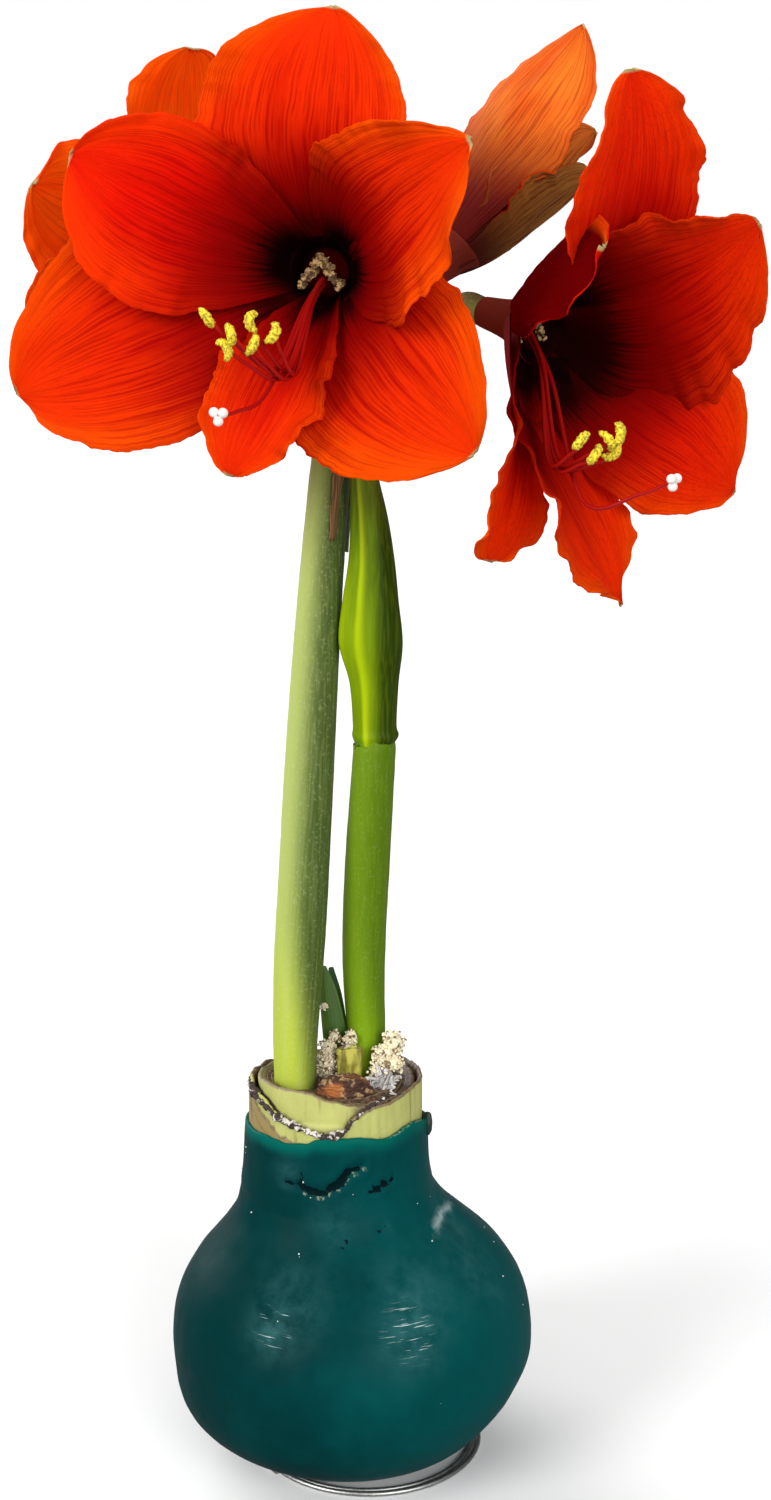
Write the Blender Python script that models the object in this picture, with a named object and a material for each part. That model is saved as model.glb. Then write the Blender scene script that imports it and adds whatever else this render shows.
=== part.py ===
"""An amaryllis bulb dipped in wax, in flower, standing on its sprung wire ring.

Metres, +Z up. The origin is the middle of the wax's flat foot, on the surface that the bulb
stands on, and -Y is the front, where the open bloom faces.
"""

import math

import bmesh
import bpy
from mathutils import Matrix, Vector

# Fits
GAP = 0.0003  # between pieces that touch
MOST_SCRAP_POINTS = 24  # a larger loose piece after a union is a mistake

# Wax coat and bulb
WAX_RADIUS = 0.054
WAX_WALL = 0.002
FOOT_RADIUS = 0.014
NECK_OFFSET = -0.0045  # the neck grows to the left of the bulb's middle
NECK_OFFSET_FROM = 0.062  # heights between which it moves over
NECK_OFFSET_TO = 0.088
BELLY_OFFSET = -0.0024  # and the bulb is fuller low down on the left
BELLY_HEIGHT = 0.014
BELLY_TOP = 0.034
WAX_RIM = 0.1023
WAX_RIM_FRONT_RISE = 0.0050  # the dip left the wax higher in front
WAX_PROFILE = (  # radius, height
    (FOOT_RADIUS, 0.0),
    (0.0240, 0.0020),
    (0.0382, 0.0072),
    (0.0474, 0.0155),
    (0.0523, 0.0256),
    (WAX_RADIUS, 0.0370),
    (0.0524, 0.0490),
    (0.0468, 0.0600),
    (0.0379, 0.0700),
    (0.0308, 0.0790),
    (0.0279, 0.0890),
    (0.0268, WAX_RIM),
)
TURN_STEPS = 26

# Cut neck of the bulb: an outer scale, torn low in front, round an inner one
OUTER_SCALE_RADIUS = 0.0253
OUTER_SCALE_WALL = 0.0014
OUTER_SCALE_TOP = 0.1143
OUTER_SCALE_SIDES = 0.0040  # it stands higher on its left and right
OUTER_SCALE_TEAR = 0.0046
INNER_SCALE_RADIUS = 0.0228
INNER_SCALE_WALL = 0.0021
INNER_SCALE_TOP = 0.1159
SCALE_GROOVE = 0.0016
NECK_FLOOR = 0.1133
STEM_SINK = 0.0125  # how far a stem stands down in its hole

# Wire ring, 1.5 mm sprung steel
WIRE = 0.0015
RING_RADIUS = 0.0342
RING_CENTRE_X = 0.0042
RING_PITCH = 0.0022  # the second turn lies inside the first
RING_TURNS = 2.0
RING_START_DEG = 205.0
PIN_RADIUS = 0.0245  # where the wire turns up into the bulb
PIN_DEPTH = 0.009
PIN_BEND = 0.0016
RING_ENTRY_DEG = 14.0  # how far round from the pin the first turn begins
RING_CROSSES = (0.40, 0.62)  # shares of the coil between which it moves out to the second turn
RING_STEPS = 20
WIRE_SIDES = 6
PIN_HOLE_SIDES = 12

# Stems: centre line and radius
FLOWER_STEM = (
    ((-0.0160, -0.0030, NECK_FLOOR - STEM_SINK), 0.0058),
    ((-0.0164, -0.0030, 0.1265), 0.0064),
    ((-0.0152, -0.0030, 0.1525), 0.0072),
    ((-0.0138, -0.0026, 0.1745), 0.0073),
    ((-0.0112, -0.0010, 0.2195), 0.0070),
    ((-0.0085, 0.0022, 0.2595), 0.0063),
    ((-0.0056, 0.0062, 0.2925), 0.0058),
    ((-0.0022, 0.0105, 0.3205), 0.0056),
    ((-0.0005, 0.0120, 0.3325), 0.0062),
)
BUD_STEM = (
    ((0.0052, 0.0075, NECK_FLOOR - STEM_SINK), 0.0052),
    ((0.0044, 0.0070, 0.1265), 0.0056),
    ((0.0036, 0.0060, 0.1525), 0.0063),
    ((0.0048, 0.0030, 0.1825), 0.0065),
    ((0.0067, -0.0008, 0.2140), 0.0061),
    ((0.0067, -0.0008, 0.2185), 0.0060),
)
STEM_SIDES = 14
UMBEL = Vector((-0.0005, 0.0120, 0.3335))
PEDICEL_RADIUS = 0.0028
PEDICEL_SINK = 0.004  # how far each stalk starts down in the stem
PEDICEL_SIDES = 8
OVARY_RADIUS = 0.0043
OVARY_LENGTH = 0.011

# A bloom: tube, petals and stamens share one frame, x to its right, y up, z out of its throat
TUBE_LENGTH = 0.024
TUBE_OUTSIDE = ((0.0042, -TUBE_LENGTH), (0.0053, -0.0160), (0.0074, -0.0085), (0.0097, -0.0040))
TUBE_INSIDE = ((0.0085, -0.0040), (0.0056, -0.0085), (0.0034, -0.0115))
TUBE_FLOOR = -0.0120
TUBE_STEPS = 12
PETAL_ROOT = (0.0066, -0.0085)  # radius and height at which a petal leaves the tube's wall
PETAL_THICKNESS = 0.0008
PETAL_ROOT_BEND = 0.95  # how far round a petal bends across itself where it leaves the tube, in radians
PETAL_UNROLL = 0.45  # the share of its length over which that eases to its own cup
PETAL_RUFFLES = 2.5
RUFFLE_SHIFT = 1.1  # so that its two edges wave differently
PETAL_ROWS = 8
PETAL_COLUMNS = 5
FILAMENT_RADIUS = 0.0006
FILAMENT_SIDES = 4
FILAMENT_DROOP = 0.0045
FILAMENT_RING = 0.0010  # radius of the ring that they stand in
FILAMENT_ROOT = -0.0100
STAMEN_PLUG = ((0.0016, TUBE_FLOOR + GAP), (0.0021, -0.0105), (0.0017, -0.0080))
PLUG_SIDES = 8
ANTHER_LENGTH = 0.0052
ANTHER_RADIUS = 0.0014
ANTHER_SIDES = 5
STIGMA_LENGTH = 0.0014
STIGMA_RADII = (0.0011, 0.0016)


def material(name, colour, roughness, metallic=0.0):
    made = bpy.data.materials.new(name)
    made.use_nodes = True
    shader = made.node_tree.nodes["Principled BSDF"]
    shader.inputs["Base Color"].default_value = (*colour, 1.0)
    shader.inputs["Roughness"].default_value = roughness
    shader.inputs["Metallic"].default_value = metallic
    return made


def link_mesh(name, shape, finish=None, collection=None):
    """An object from a bmesh, with faces out, smooth except at sharp folds."""
    bmesh.ops.recalc_face_normals(shape, faces=shape.faces)
    mesh = bpy.data.meshes.new(name)
    shape.to_mesh(mesh)
    shape.free()
    mesh.shade_smooth()
    mesh.set_sharp_from_angle(angle=math.radians(50))
    thing = bpy.data.objects.new(name, mesh)
    (collection or bpy.context.scene.collection).objects.link(thing)
    if finish:
        mesh.materials.append(finish)
    return thing


def apply_modifiers(thing):
    bpy.context.view_layer.objects.active = thing
    for modifier in list(thing.modifiers):
        with bpy.context.temp_override(object=thing, active_object=thing):
            bpy.ops.object.modifier_apply(modifier=modifier.name)


def fuse(base, pieces):
    """Joins the pieces' collection to the base by one union, and removes it."""
    union = base.modifiers.new("Union", "BOOLEAN")
    union.operation = "UNION"
    union.operand_type = "COLLECTION"
    union.collection = pieces
    union.solver = "MANIFOLD"
    apply_modifiers(base)
    for piece in list(pieces.objects):
        bpy.data.objects.remove(piece)
    bpy.data.collections.remove(pieces)
    keep_largest_body(base)
    base.data.shade_smooth()
    base.data.set_sharp_from_angle(angle=math.radians(50))
    return base


def keep_largest_body(thing):
    """Fills any pocket that the union has sealed and drops loose scraps, so that one closed body is left."""
    shape = bmesh.new()
    shape.from_mesh(thing.data)
    bodies = []
    unseen = set(shape.verts)
    while unseen:
        found = {unseen.pop()}
        edge = list(found)
        while edge:
            vert = edge.pop()
            for side in vert.link_edges:
                other = side.other_vert(vert)
                if other in unseen:
                    unseen.discard(other)
                    found.add(other)
                    edge.append(other)
        bodies.append(found)
    largest = max(bodies, key=len)
    for body in bodies:
        if len(body) > MOST_SCRAP_POINTS and body is not largest:
            raise ValueError(f"{thing.name} has a second body of {len(body)} points")
    spare = [vert for body in bodies if body is not largest for vert in body]
    bmesh.ops.delete(shape, geom=spare, context="VERTS")
    shape.to_mesh(thing.data)
    shape.free()


def new_collection(name):
    pieces = bpy.data.collections.new(name)
    bpy.context.scene.collection.children.link(pieces)
    return pieces


def smooth_run(points, steps):
    """Points of any length along a Catmull-Rom curve, steps to each span."""
    ends = [tuple(2 * a - b for a, b in zip(points[0], points[1]))]
    ends += list(points)
    ends.append(tuple(2 * a - b for a, b in zip(points[-1], points[-2])))
    run = []
    for span in range(1, len(ends) - 2):
        p0, p1, p2, p3 = ends[span - 1 : span + 3]
        for step in range(steps):
            t = step / steps
            point = []
            for a, b, c, d in zip(p0, p1, p2, p3):
                square = 2 * a - 5 * b + 4 * c - d
                cube = 3 * b - a - 3 * c + d
                point.append(0.5 * (2 * b + (c - a) * t + square * t**2 + cube * t**3))
            run.append(tuple(point))
    run.append(tuple(points[-1]))
    return run


def ease(low, high, value):
    t = min(max((value - low) / (high - low), 0.0), 1.0)
    return t * t * (3 - 2 * t)


def side_shift(height):
    """How far the bulb's middle lies to the left at a height."""
    neck = NECK_OFFSET * ease(NECK_OFFSET_FROM, NECK_OFFSET_TO, height)
    above_foot = ease(0.0, BELLY_HEIGHT, height)
    below_top = 1 - ease(BELLY_HEIGHT, BELLY_TOP, height)
    return neck + BELLY_OFFSET * above_foot * below_top


def skin(shape, rings):
    """Faces between rings of points, with the first and last rings filled."""
    count = len(rings[0])
    for below, above in zip(rings, rings[1:]):
        for step in range(count):
            after = (step + 1) % count
            shape.faces.new((below[step], below[after], above[after], above[step]))
    shape.faces.new(rings[0])
    shape.faces.new(rings[-1])


def turned(profile, steps, place=None):
    """A ring of points for each radius and height of the profile, moved by place(point, turn)."""
    shape = bmesh.new()
    rings = []
    for radius, height in profile:
        ring = []
        for step in range(steps):
            turn = 2 * math.pi * step / steps
            point = Vector((radius * math.cos(turn), radius * math.sin(turn), height))
            ring.append(shape.verts.new(place(point, turn) if place else point))
        rings.append(ring)
    return shape, rings


def tube(path, radii, sides, collection=None, name="tube", finish=None):
    """A round bar along a path, with a flat end each way."""
    shape = bmesh.new()
    points = [Vector(p) for p in path]
    rings = []
    across = None
    for index, point in enumerate(points):
        before = points[max(index - 1, 0)]
        after = points[min(index + 1, len(points) - 1)]
        along = (after - before).normalized()
        if across is None:
            across = along.orthogonal().normalized()
        across = (across - across.dot(along) * along).normalized()
        other = along.cross(across)
        radius = radii[index] if isinstance(radii, (list, tuple)) else radii
        ring = []
        for side in range(sides):
            turn = 2 * math.pi * side / sides
            ring.append(shape.verts.new(point + radius * (math.cos(turn) * across + math.sin(turn) * other)))
        rings.append(ring)
    skin(shape, rings)
    return link_mesh(name, shape, finish, collection)


def wax_rim_height(turn):
    """Height of the wax's edge round the neck: higher in front, and a little uneven."""
    front = max(-math.sin(turn), 0.0) ** 2
    return WAX_RIM + WAX_RIM_FRONT_RISE * front + 0.0005 * math.sin(3 * turn + 0.6)


def wax_place(point, turn):
    """Moves a turned point of the wax over to the neck, and stretches the collar up to its uneven edge."""
    stretch = ease(0.086, WAX_RIM, point.z)
    lift = (wax_rim_height(turn) - WAX_RIM) * stretch
    return Vector((point.x + side_shift(point.z), point.y, point.z + lift))


def wax_profile(inset):
    """The bulb's outline in the wax, moved in along its own normal by inset."""
    run = list(WAX_PROFILE)
    moved = []
    for index, (radius, height) in enumerate(run):
        before = run[max(index - 1, 0)]
        after = run[min(index + 1, len(run) - 1)]
        along = Vector((after[0] - before[0], after[1] - before[1])).normalized()
        moved.append((radius - inset * along.y, height + inset * along.x))
    return moved


def make_wax_coat():
    outside = wax_profile(0.0)
    inside = wax_profile(WAX_WALL)
    inside[0] = (inside[0][0], WAX_WALL)
    inside[-1] = (OUTER_SCALE_RADIUS + GAP, WAX_RIM)
    shape, rings = turned(outside + inside[::-1], TURN_STEPS, wax_place)
    skin(shape, rings)
    return link_mesh("wax_coat", shape, material("wax", (0.004, 0.075, 0.085), 0.38))


def outer_scale_height(turn):
    """Height of the outer scale's torn edge: high at both sides, low in front and a little to the left."""
    dip = max(math.cos(turn + math.radians(100)), 0.0) ** 2
    sides = OUTER_SCALE_SIDES * math.cos(turn) ** 4
    return OUTER_SCALE_TOP + sides - OUTER_SCALE_TEAR * dip + 0.0005 * math.sin(5 * turn)


def make_bulb():
    """The bulb under its wax, and its cut neck with the torn outer scale round the inner one."""
    inside = wax_profile(WAX_WALL + GAP)
    inside[0] = (inside[0][0], WAX_WALL + GAP)
    body = inside[:-1]
    outer = OUTER_SCALE_RADIUS
    outer_in = outer - OUTER_SCALE_WALL
    inner = INNER_SCALE_RADIUS
    inner_in = inner - INNER_SCALE_WALL
    neck = [
        (outer, WAX_RIM),
        (outer, "edge"),
        (outer_in, "edge"),
        (inner + GAP, "groove"),
        (inner, INNER_SCALE_TOP - 0.0004),
        (inner - 0.0006, INNER_SCALE_TOP),
        (inner_in, INNER_SCALE_TOP - 0.0003),
        (inner_in - 0.0012, NECK_FLOOR),
    ]

    def place(point, turn):
        return Vector((point.x + side_shift(point.z), point.y, point.z))

    shape, rings = turned(body, TURN_STEPS, place)
    for radius, height in neck:
        ring = []
        for step in range(TURN_STEPS):
            turn = 2 * math.pi * step / TURN_STEPS
            level = height
            if height == "edge":
                level = outer_scale_height(turn)
            elif height == "groove":
                level = outer_scale_height(turn) - SCALE_GROOVE
            point = Vector((radius * math.cos(turn), radius * math.sin(turn), level))
            ring.append(shape.verts.new(place(point, turn)))
        rings.append(ring)
    skin(shape, rings)
    bulb = link_mesh("bulb", shape, material("bulb_scale", (0.42, 0.46, 0.13), 0.55))
    cutters = []
    for name, stem in (("flower_stem_hole", FLOWER_STEM), ("bud_stem_hole", BUD_STEM)):
        cutters.append(stem_hole(name, stem))
    cutters.append(pin_hole("bulb_pin_hole"))
    for cutter in cutters:
        cut = bulb.modifiers.new(cutter.name, "BOOLEAN")
        cut.operation = "DIFFERENCE"
        cut.object = cutter
    return bulb


def stem_hole(name, stem):
    """The plain hole that a stem stands in: its own line and radius, one gap wider."""
    path = [Vector(point) for point, radius in stem[:2]]
    radii = [radius + GAP for point, radius in stem[:2]]
    along = (path[1] - path[0]).normalized()
    path[0] = path[0] - GAP * along
    return cutter_of(tube(path, radii, 2 * STEM_SIDES, name=name))


def pin_hole(name):
    """The hole that the wire's turned-up end has made in the wax and the bulb."""
    x, y = pin_place()
    top = WIRE + PIN_DEPTH + 2 * GAP
    return cutter_of(tube([(x, y, -WAX_WALL), (x, y, top)], WIRE / 2 + GAP, PIN_HOLE_SIDES, name=name))


def cutter_of(thing):
    thing.hide_render = True
    thing.display_type = "WIRE"
    return thing


def pin_place():
    turn = math.radians(RING_START_DEG)
    return PIN_RADIUS * math.cos(turn), PIN_RADIUS * math.sin(turn)


def make_wire_ring():
    """One length of wire: up into the bulb, out along the table, and round in two turns."""
    x, y = pin_place()
    rest = WIRE / 2
    path = [(x, y, rest + PIN_DEPTH), (x, y, rest + PIN_DEPTH / 2)]
    start = math.radians(RING_START_DEG)
    for out, up in ((0.0, 1.0), (0.3, 0.3), (1.0, 0.0)):
        reach = out * PIN_BEND
        path.append((x + reach * math.cos(start), y + reach * math.sin(start), rest + up * PIN_BEND))
    inner = RING_RADIUS - RING_PITCH
    entry = start + math.radians(RING_ENTRY_DEG)
    lead = Vector((RING_CENTRE_X + inner * math.cos(entry), inner * math.sin(entry), rest))
    foot = Vector(path[-1])
    path.append(tuple(foot.lerp(lead, 0.45)))
    path.append(tuple(foot.lerp(lead, 0.80) + Vector((0.0004, -0.0006, 0.0))))
    for step in range(1, int(RING_STEPS * RING_TURNS) + 1):
        share = step / (RING_STEPS * RING_TURNS)
        turn = entry + 2 * math.pi * RING_TURNS * share
        out = ease(*RING_CROSSES, share)
        radius = inner + RING_PITCH * out
        path.append((RING_CENTRE_X + radius * math.cos(turn), radius * math.sin(turn), rest))
    steel = material("steel_wire", (0.62, 0.62, 0.60), 0.25, 1.0)
    return tube(path, WIRE / 2, WIRE_SIDES, name="wire_ring", finish=steel)


def bloom_frame(throat, facing):
    """Matrix from a bloom's own frame to the world's."""
    out = Vector(facing).normalized()
    right = Vector((0, 0, 1)).cross(out).normalized()
    up = out.cross(right)
    turned_frame = Matrix((right, up, out)).transposed().to_4x4()
    return Matrix.Translation(throat) @ turned_frame


def petal_width(petal, t):
    """Share of the petal's full width at t: a narrow claw, a broad blade and a pointed tip."""
    widest = petal.get("widest", 0.58)
    claw = petal.get("claw", 0.30)
    if t < widest:
        return claw + (1 - claw) * math.sin(math.pi / 2 * t / widest) ** 1.3
    end = (t - widest) / (1 - widest)
    return max((1 - end**2.2) ** petal.get("point", 0.75), 0.03)


def petal_point(petal, t, v):
    """A point on a petal's middle surface in its bloom's frame: t from root to tip, v from -1 to 1 across."""
    turn = math.radians(petal["angle"])
    radial = Vector((math.cos(turn), math.sin(turn), 0))
    around = Vector((-math.sin(turn), math.cos(turn), 0))
    root = Vector(PETAL_ROOT)
    tip = Vector((petal["reach"], petal["rise"]))
    lean = math.radians(petal.get("lean", 28))
    curl = math.radians(petal.get("curl", 100))
    span = (tip - root).length
    first = root + petal.get("lift", 0.42) * span * Vector((math.sin(lean), math.cos(lean)))
    second = tip - petal.get("fall", 0.38) * span * Vector((math.sin(curl), math.cos(curl)))
    s = 1 - t
    line = s**3 * root + 3 * s * s * t * first + 3 * s * t * t * second + t**3 * tip
    slope = 3 * s * s * (first - root) + 6 * s * t * (second - first) + 3 * t * t * (tip - second)
    sway = petal.get("sway", 0.0)
    middle = line.x * radial + Vector((0, 0, line.y)) + sway * t * t * around
    along = (slope.x * radial + Vector((0, 0, slope.y)) + 2 * sway * t * around).normalized()
    side = (around - around.dot(along) * along).normalized()
    face = along.cross(side)
    half = petal["width"] / 2 * petal_width(petal, t) * (1 + petal.get("skew", 0.0) * v)
    bend = PETAL_ROOT_BEND + (petal.get("cup", 0.3) - PETAL_ROOT_BEND) * ease(0.0, PETAL_UNROLL, t)
    across = half * math.sin(bend * v) / bend
    rise = half * (1 - math.cos(bend * v)) / bend
    phase = 2 * math.pi * PETAL_RUFFLES * t + (RUFFLE_SHIFT if v > 0 else 0.0)
    edge = abs(v) ** 2.5 * ease(0.15, 0.5, t)
    rise += petal.get("ruffle", 0.0015) * edge * math.sin(phase)
    return middle + across * side + rise * face


def make_petal(petal, frame, collection):
    """One petal as a blade of even thickness, split into triangles alike on both faces."""
    shape = bmesh.new()
    grid = []
    for row in range(PETAL_ROWS + 1):
        t = row / PETAL_ROWS
        line = []
        for column in range(PETAL_COLUMNS + 1):
            v = 2 * column / PETAL_COLUMNS - 1
            line.append(shape.verts.new(frame @ petal_point(petal, t, v)))
        grid.append(line)
    for row in range(PETAL_ROWS):
        for column in range(PETAL_COLUMNS):
            a, b = grid[row][column], grid[row][column + 1]
            c, d = grid[row + 1][column + 1], grid[row + 1][column]
            shape.faces.new((a, b, c))
            shape.faces.new((a, c, d))
    blade = link_mesh("petal", shape, collection=collection)
    wall = blade.modifiers.new("Thickness", "SOLIDIFY")
    wall.thickness = PETAL_THICKNESS
    wall.offset = 0.0
    apply_modifiers(blade)
    return blade


def make_bloom(name, frame, petals, finish):
    """A bloom: its tube, hollow at the throat, with the six petals grown from the tube's wall."""
    profile = list(TUBE_OUTSIDE) + list(TUBE_INSIDE) + [(0.0008, TUBE_FLOOR)]
    shape, rings = turned(profile, TUBE_STEPS, lambda point, turn: frame @ point)
    skin(shape, rings)
    bloom = link_mesh(name, shape, finish)
    pieces = new_collection(name + "_petals")
    for petal in petals:
        make_petal(petal, frame, pieces)
    return fuse(bloom, pieces)


def make_stamens(name, frame, bloom, finish):
    """Six filaments with their anthers and the longer style, from one plug on the tube's floor."""
    shape, rings = turned(STAMEN_PLUG, PLUG_SIDES, lambda point, turn: frame @ point)
    skin(shape, rings)
    plug = link_mesh(name, shape, finish)
    pieces = new_collection(name + "_parts")
    for number, end in enumerate(bloom["filaments"]):
        turn = 2 * math.pi * number / len(bloom["filaments"])
        root = Vector((FILAMENT_RING * math.cos(turn), FILAMENT_RING * math.sin(turn), FILAMENT_ROOT))
        path = stamen_path(root, Vector(end), FILAMENT_DROOP)
        world = [frame @ point for point in path]
        tube(world, FILAMENT_RADIUS, FILAMENT_SIDES, pieces)
        tilt = Vector((0.35 + 0.2 * (number % 3), 0.9, 0.25 - 0.2 * (number % 2)))
        half = ANTHER_LENGTH / 2 * (frame.to_3x3() @ tilt).normalized()
        middle = world[-1]
        radii = [0.5 * ANTHER_RADIUS, ANTHER_RADIUS, 0.5 * ANTHER_RADIUS]
        tube([middle - half, middle, middle + half], radii, ANTHER_SIDES, pieces)
    root = Vector((0, 0, FILAMENT_ROOT))
    path = stamen_path(root, Vector(bloom["style"]), bloom["style_droop"])
    world = [frame @ point for point in path]
    tube(world, FILAMENT_RADIUS, FILAMENT_SIDES, pieces)
    out = STIGMA_LENGTH * (world[-1] - world[-2]).normalized()
    tube([world[-1] - 0.3 * out, world[-1] + out], STIGMA_RADII, ANTHER_SIDES, pieces)
    return fuse(plug, pieces)


def stamen_path(root, end, droop):
    """A filament leaves the throat straight, sags by droop under the line to its end, then turns up."""
    out = Vector((0, 0, 1))
    sag = Vector((0, -droop, 0))
    points = [
        tuple(root),
        tuple(root + 0.010 * out + 0.05 * (end - root)),
        tuple(root.lerp(end, 0.72) + sag),
        tuple(end),
    ]
    return [Vector(point) for point in smooth_run(points, 2)]


def make_flower_stem(ends, finish):
    """The flower stem with its umbel of stalks, each swelling to the ovary under its bloom."""
    path = [point for point, radius in FLOWER_STEM]
    radii = [radius for point, radius in FLOWER_STEM]
    stem = tube(path, radii, STEM_SIDES, name="flower_stem", finish=finish)
    pieces = new_collection("stalks")
    for frame, route in ends:
        out = (frame.to_3x3() @ Vector((0, 0, 1))).normalized()
        base = frame @ Vector((0, 0, -TUBE_LENGTH - GAP))
        back = base - OVARY_LENGTH * out
        points = [(*(UMBEL - Vector((0, 0, PEDICEL_SINK))), PEDICEL_RADIUS)]
        points += [(*point, PEDICEL_RADIUS) for point in route]
        points.append((*back, PEDICEL_RADIUS))
        points.append((*back.lerp(base, 0.45), OVARY_RADIUS))
        points.append((*base, OVARY_RADIUS - 0.0004))
        line = smooth_run(points[:-1], 2) + points[-1:]
        tube([p[:3] for p in line], [p[3] for p in line], PEDICEL_SIDES, pieces)
    return fuse(stem, pieces)


def clear_scene():
    for thing in list(bpy.data.objects):
        bpy.data.objects.remove(thing)


FRONT_BLOOM = {
    "throat": (-0.0080, -0.0300, 0.3512),
    "facing": (-0.35, -0.93, 0.06),
    "route": ((0.0035, 0.0105, 0.3415),),
    "petals": (
        {
            "angle": 82, "reach": 0.065, "rise": 0.014, "width": 0.057,
            "curl": 105, "cup": 0.35, "skew": 0.08,
        },
        {
            "angle": -158, "reach": 0.090, "rise": 0.008, "width": 0.062,
            "curl": 110, "cup": 0.25, "skew": -0.02, "widest": 0.43,
        },
        {
            "angle": -42, "reach": 0.066, "rise": 0.013, "width": 0.057,
            "curl": 110, "cup": 0.2, "skew": -0.06, "widest": 0.5,
        },
        {
            "angle": 30, "reach": 0.061, "rise": 0.034, "width": 0.050,
            "curl": 75, "cup": 0.45, "skew": -0.1, "widest": 0.42,
        },
        {
            "angle": 155, "reach": 0.066, "rise": 0.022, "width": 0.050,
            "curl": 95, "cup": 0.35, "skew": 0.08,
        },
        {
            "angle": -90, "reach": 0.052, "rise": 0.022, "width": 0.033,
            "curl": 100, "cup": 0.3, "sway": -0.014,
        },
    ),
    "filaments": (
        (-0.0062, -0.0125, 0.0500),
        (0.0006, -0.0156, 0.0480),
        (0.0020, -0.0185, 0.0440),
        (0.0056, -0.0160, 0.0400),
        (-0.0030, -0.0190, 0.0470),
        (0.0035, -0.0130, 0.0430),
    ),
    "style": (-0.0021, -0.0350, 0.0550),
    "style_droop": 0.0030,
}

RIGHT_BLOOM = {
    "throat": (0.0543, -0.0160, 0.3349),
    "facing": (0.72, -0.66, -0.18),
    "route": ((0.0080, 0.0130, 0.3430), (0.0190, 0.0110, 0.3450)),
    "petals": (
        {
            "angle": 99, "reach": 0.072, "rise": 0.020, "width": 0.053,
            "lean": 14, "curl": 112, "cup": 0.3, "skew": 0.06,
        },
        {
            "angle": -38, "reach": 0.068, "rise": 0.031, "width": 0.050,
            "curl": 95, "cup": 0.25, "skew": -0.05, "point": 0.9,
        },
        {
            "angle": -137, "reach": 0.056, "rise": 0.009, "width": 0.026, "lean": 52, "curl": 125,
            "cup": 0.5, "sway": 0.028, "skew": -0.15, "claw": 0.8, "widest": 0.6, "point": 0.4,
        },
        {
            "angle": 44, "reach": 0.048, "rise": 0.037, "width": 0.070, "curl": 75,
            "cup": 0.35, "sway": 0.004, "skew": -0.14, "widest": 0.36, "point": 0.8,
        },
        {
            "angle": 154, "reach": 0.042, "rise": 0.036, "width": 0.036, "lean": 62,
            "curl": 20, "cup": 0.6, "sway": -0.014, "skew": -0.25,
        },
        {
            "angle": -112, "reach": 0.059, "rise": 0.022, "width": 0.050, "lean": 62, "curl": 95,
            "cup": 0.3, "sway": 0.048, "skew": -0.2, "claw": 0.8, "widest": 0.5, "point": 1.3,
        },
    ),
    "filaments": (
        (-0.0310, -0.0166, 0.0400),
        (-0.0290, -0.0190, 0.0420),
        (-0.0270, -0.0150, 0.0450),
        (-0.0250, -0.0200, 0.0430),
        (-0.0285, -0.0140, 0.0430),
        (-0.0235, -0.0160, 0.0410),
    ),
    "style": (-0.0200, -0.0232, 0.0600),
    "style_droop": 0.0110,
}

LEFT_BLOOM = {
    "throat": (-0.0400, 0.0400, 0.3495),
    "facing": (-0.84, 0.50, 0.12),
    "route": ((-0.0090, 0.0160, 0.3415),),
    "petals": (
        {
            "angle": 84, "reach": 0.060, "rise": 0.010, "width": 0.060,
            "curl": 105, "cup": 0.3, "skew": 0.2, "point": 0.6,
        },
        {"angle": -150, "reach": 0.062, "rise": 0.020, "width": 0.050, "curl": 100, "cup": 0.3},
        {"angle": -30, "reach": 0.060, "rise": 0.020, "width": 0.050, "curl": 100, "cup": 0.3},
        {"angle": 22, "reach": 0.053, "rise": 0.028, "width": 0.046, "curl": 90, "cup": 0.35},
        {"angle": 150, "reach": 0.060, "rise": 0.026, "width": 0.046, "curl": 90, "cup": 0.35},
        {"angle": -92, "reach": 0.056, "rise": 0.022, "width": 0.032, "curl": 100, "cup": 0.3},
    ),
    "filaments": (
        (-0.0060, -0.0125, 0.0480),
        (0.0000, -0.0150, 0.0460),
        (0.0030, -0.0185, 0.0440),
        (0.0060, -0.0150, 0.0420),
        (-0.0035, -0.0185, 0.0450),
        (0.0030, -0.0120, 0.0440),
    ),
    "style": (0.0000, -0.0290, 0.0540),
    "style_droop": 0.0060,
}

OPENING_BUD = {
    "throat": (0.0317, 0.0320, 0.3590),
    "facing": (0.66, 0.30, 0.69),
    "route": ((0.0030, 0.0180, 0.3395), (0.0070, 0.0205, 0.3400)),
    "petals": tuple(
        {
            "angle": angle,
            "reach": reach,
            "rise": rise,
            "width": width,
            "lean": lean,
            "curl": curl,
            "lift": 0.38,
            "fall": 0.36,
            "cup": 0.75,
            "claw": 0.4,
            "widest": 0.55,
            "ruffle": 0.001,
        }
        for angle, reach, rise, width, lean, curl in (
            (116, 0.021, 0.063, 0.040, 26, 8),
            (-148, 0.010, 0.047, 0.034, 28, 10),
            (-118, 0.018, 0.038, 0.042, 30, 20),
            (50, 0.006, 0.047, 0.022, 8, 0),
            (172, 0.006, 0.046, 0.022, 8, 5),
            (-60, 0.008, 0.040, 0.022, 12, 5),
        )
    ),
}

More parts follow.
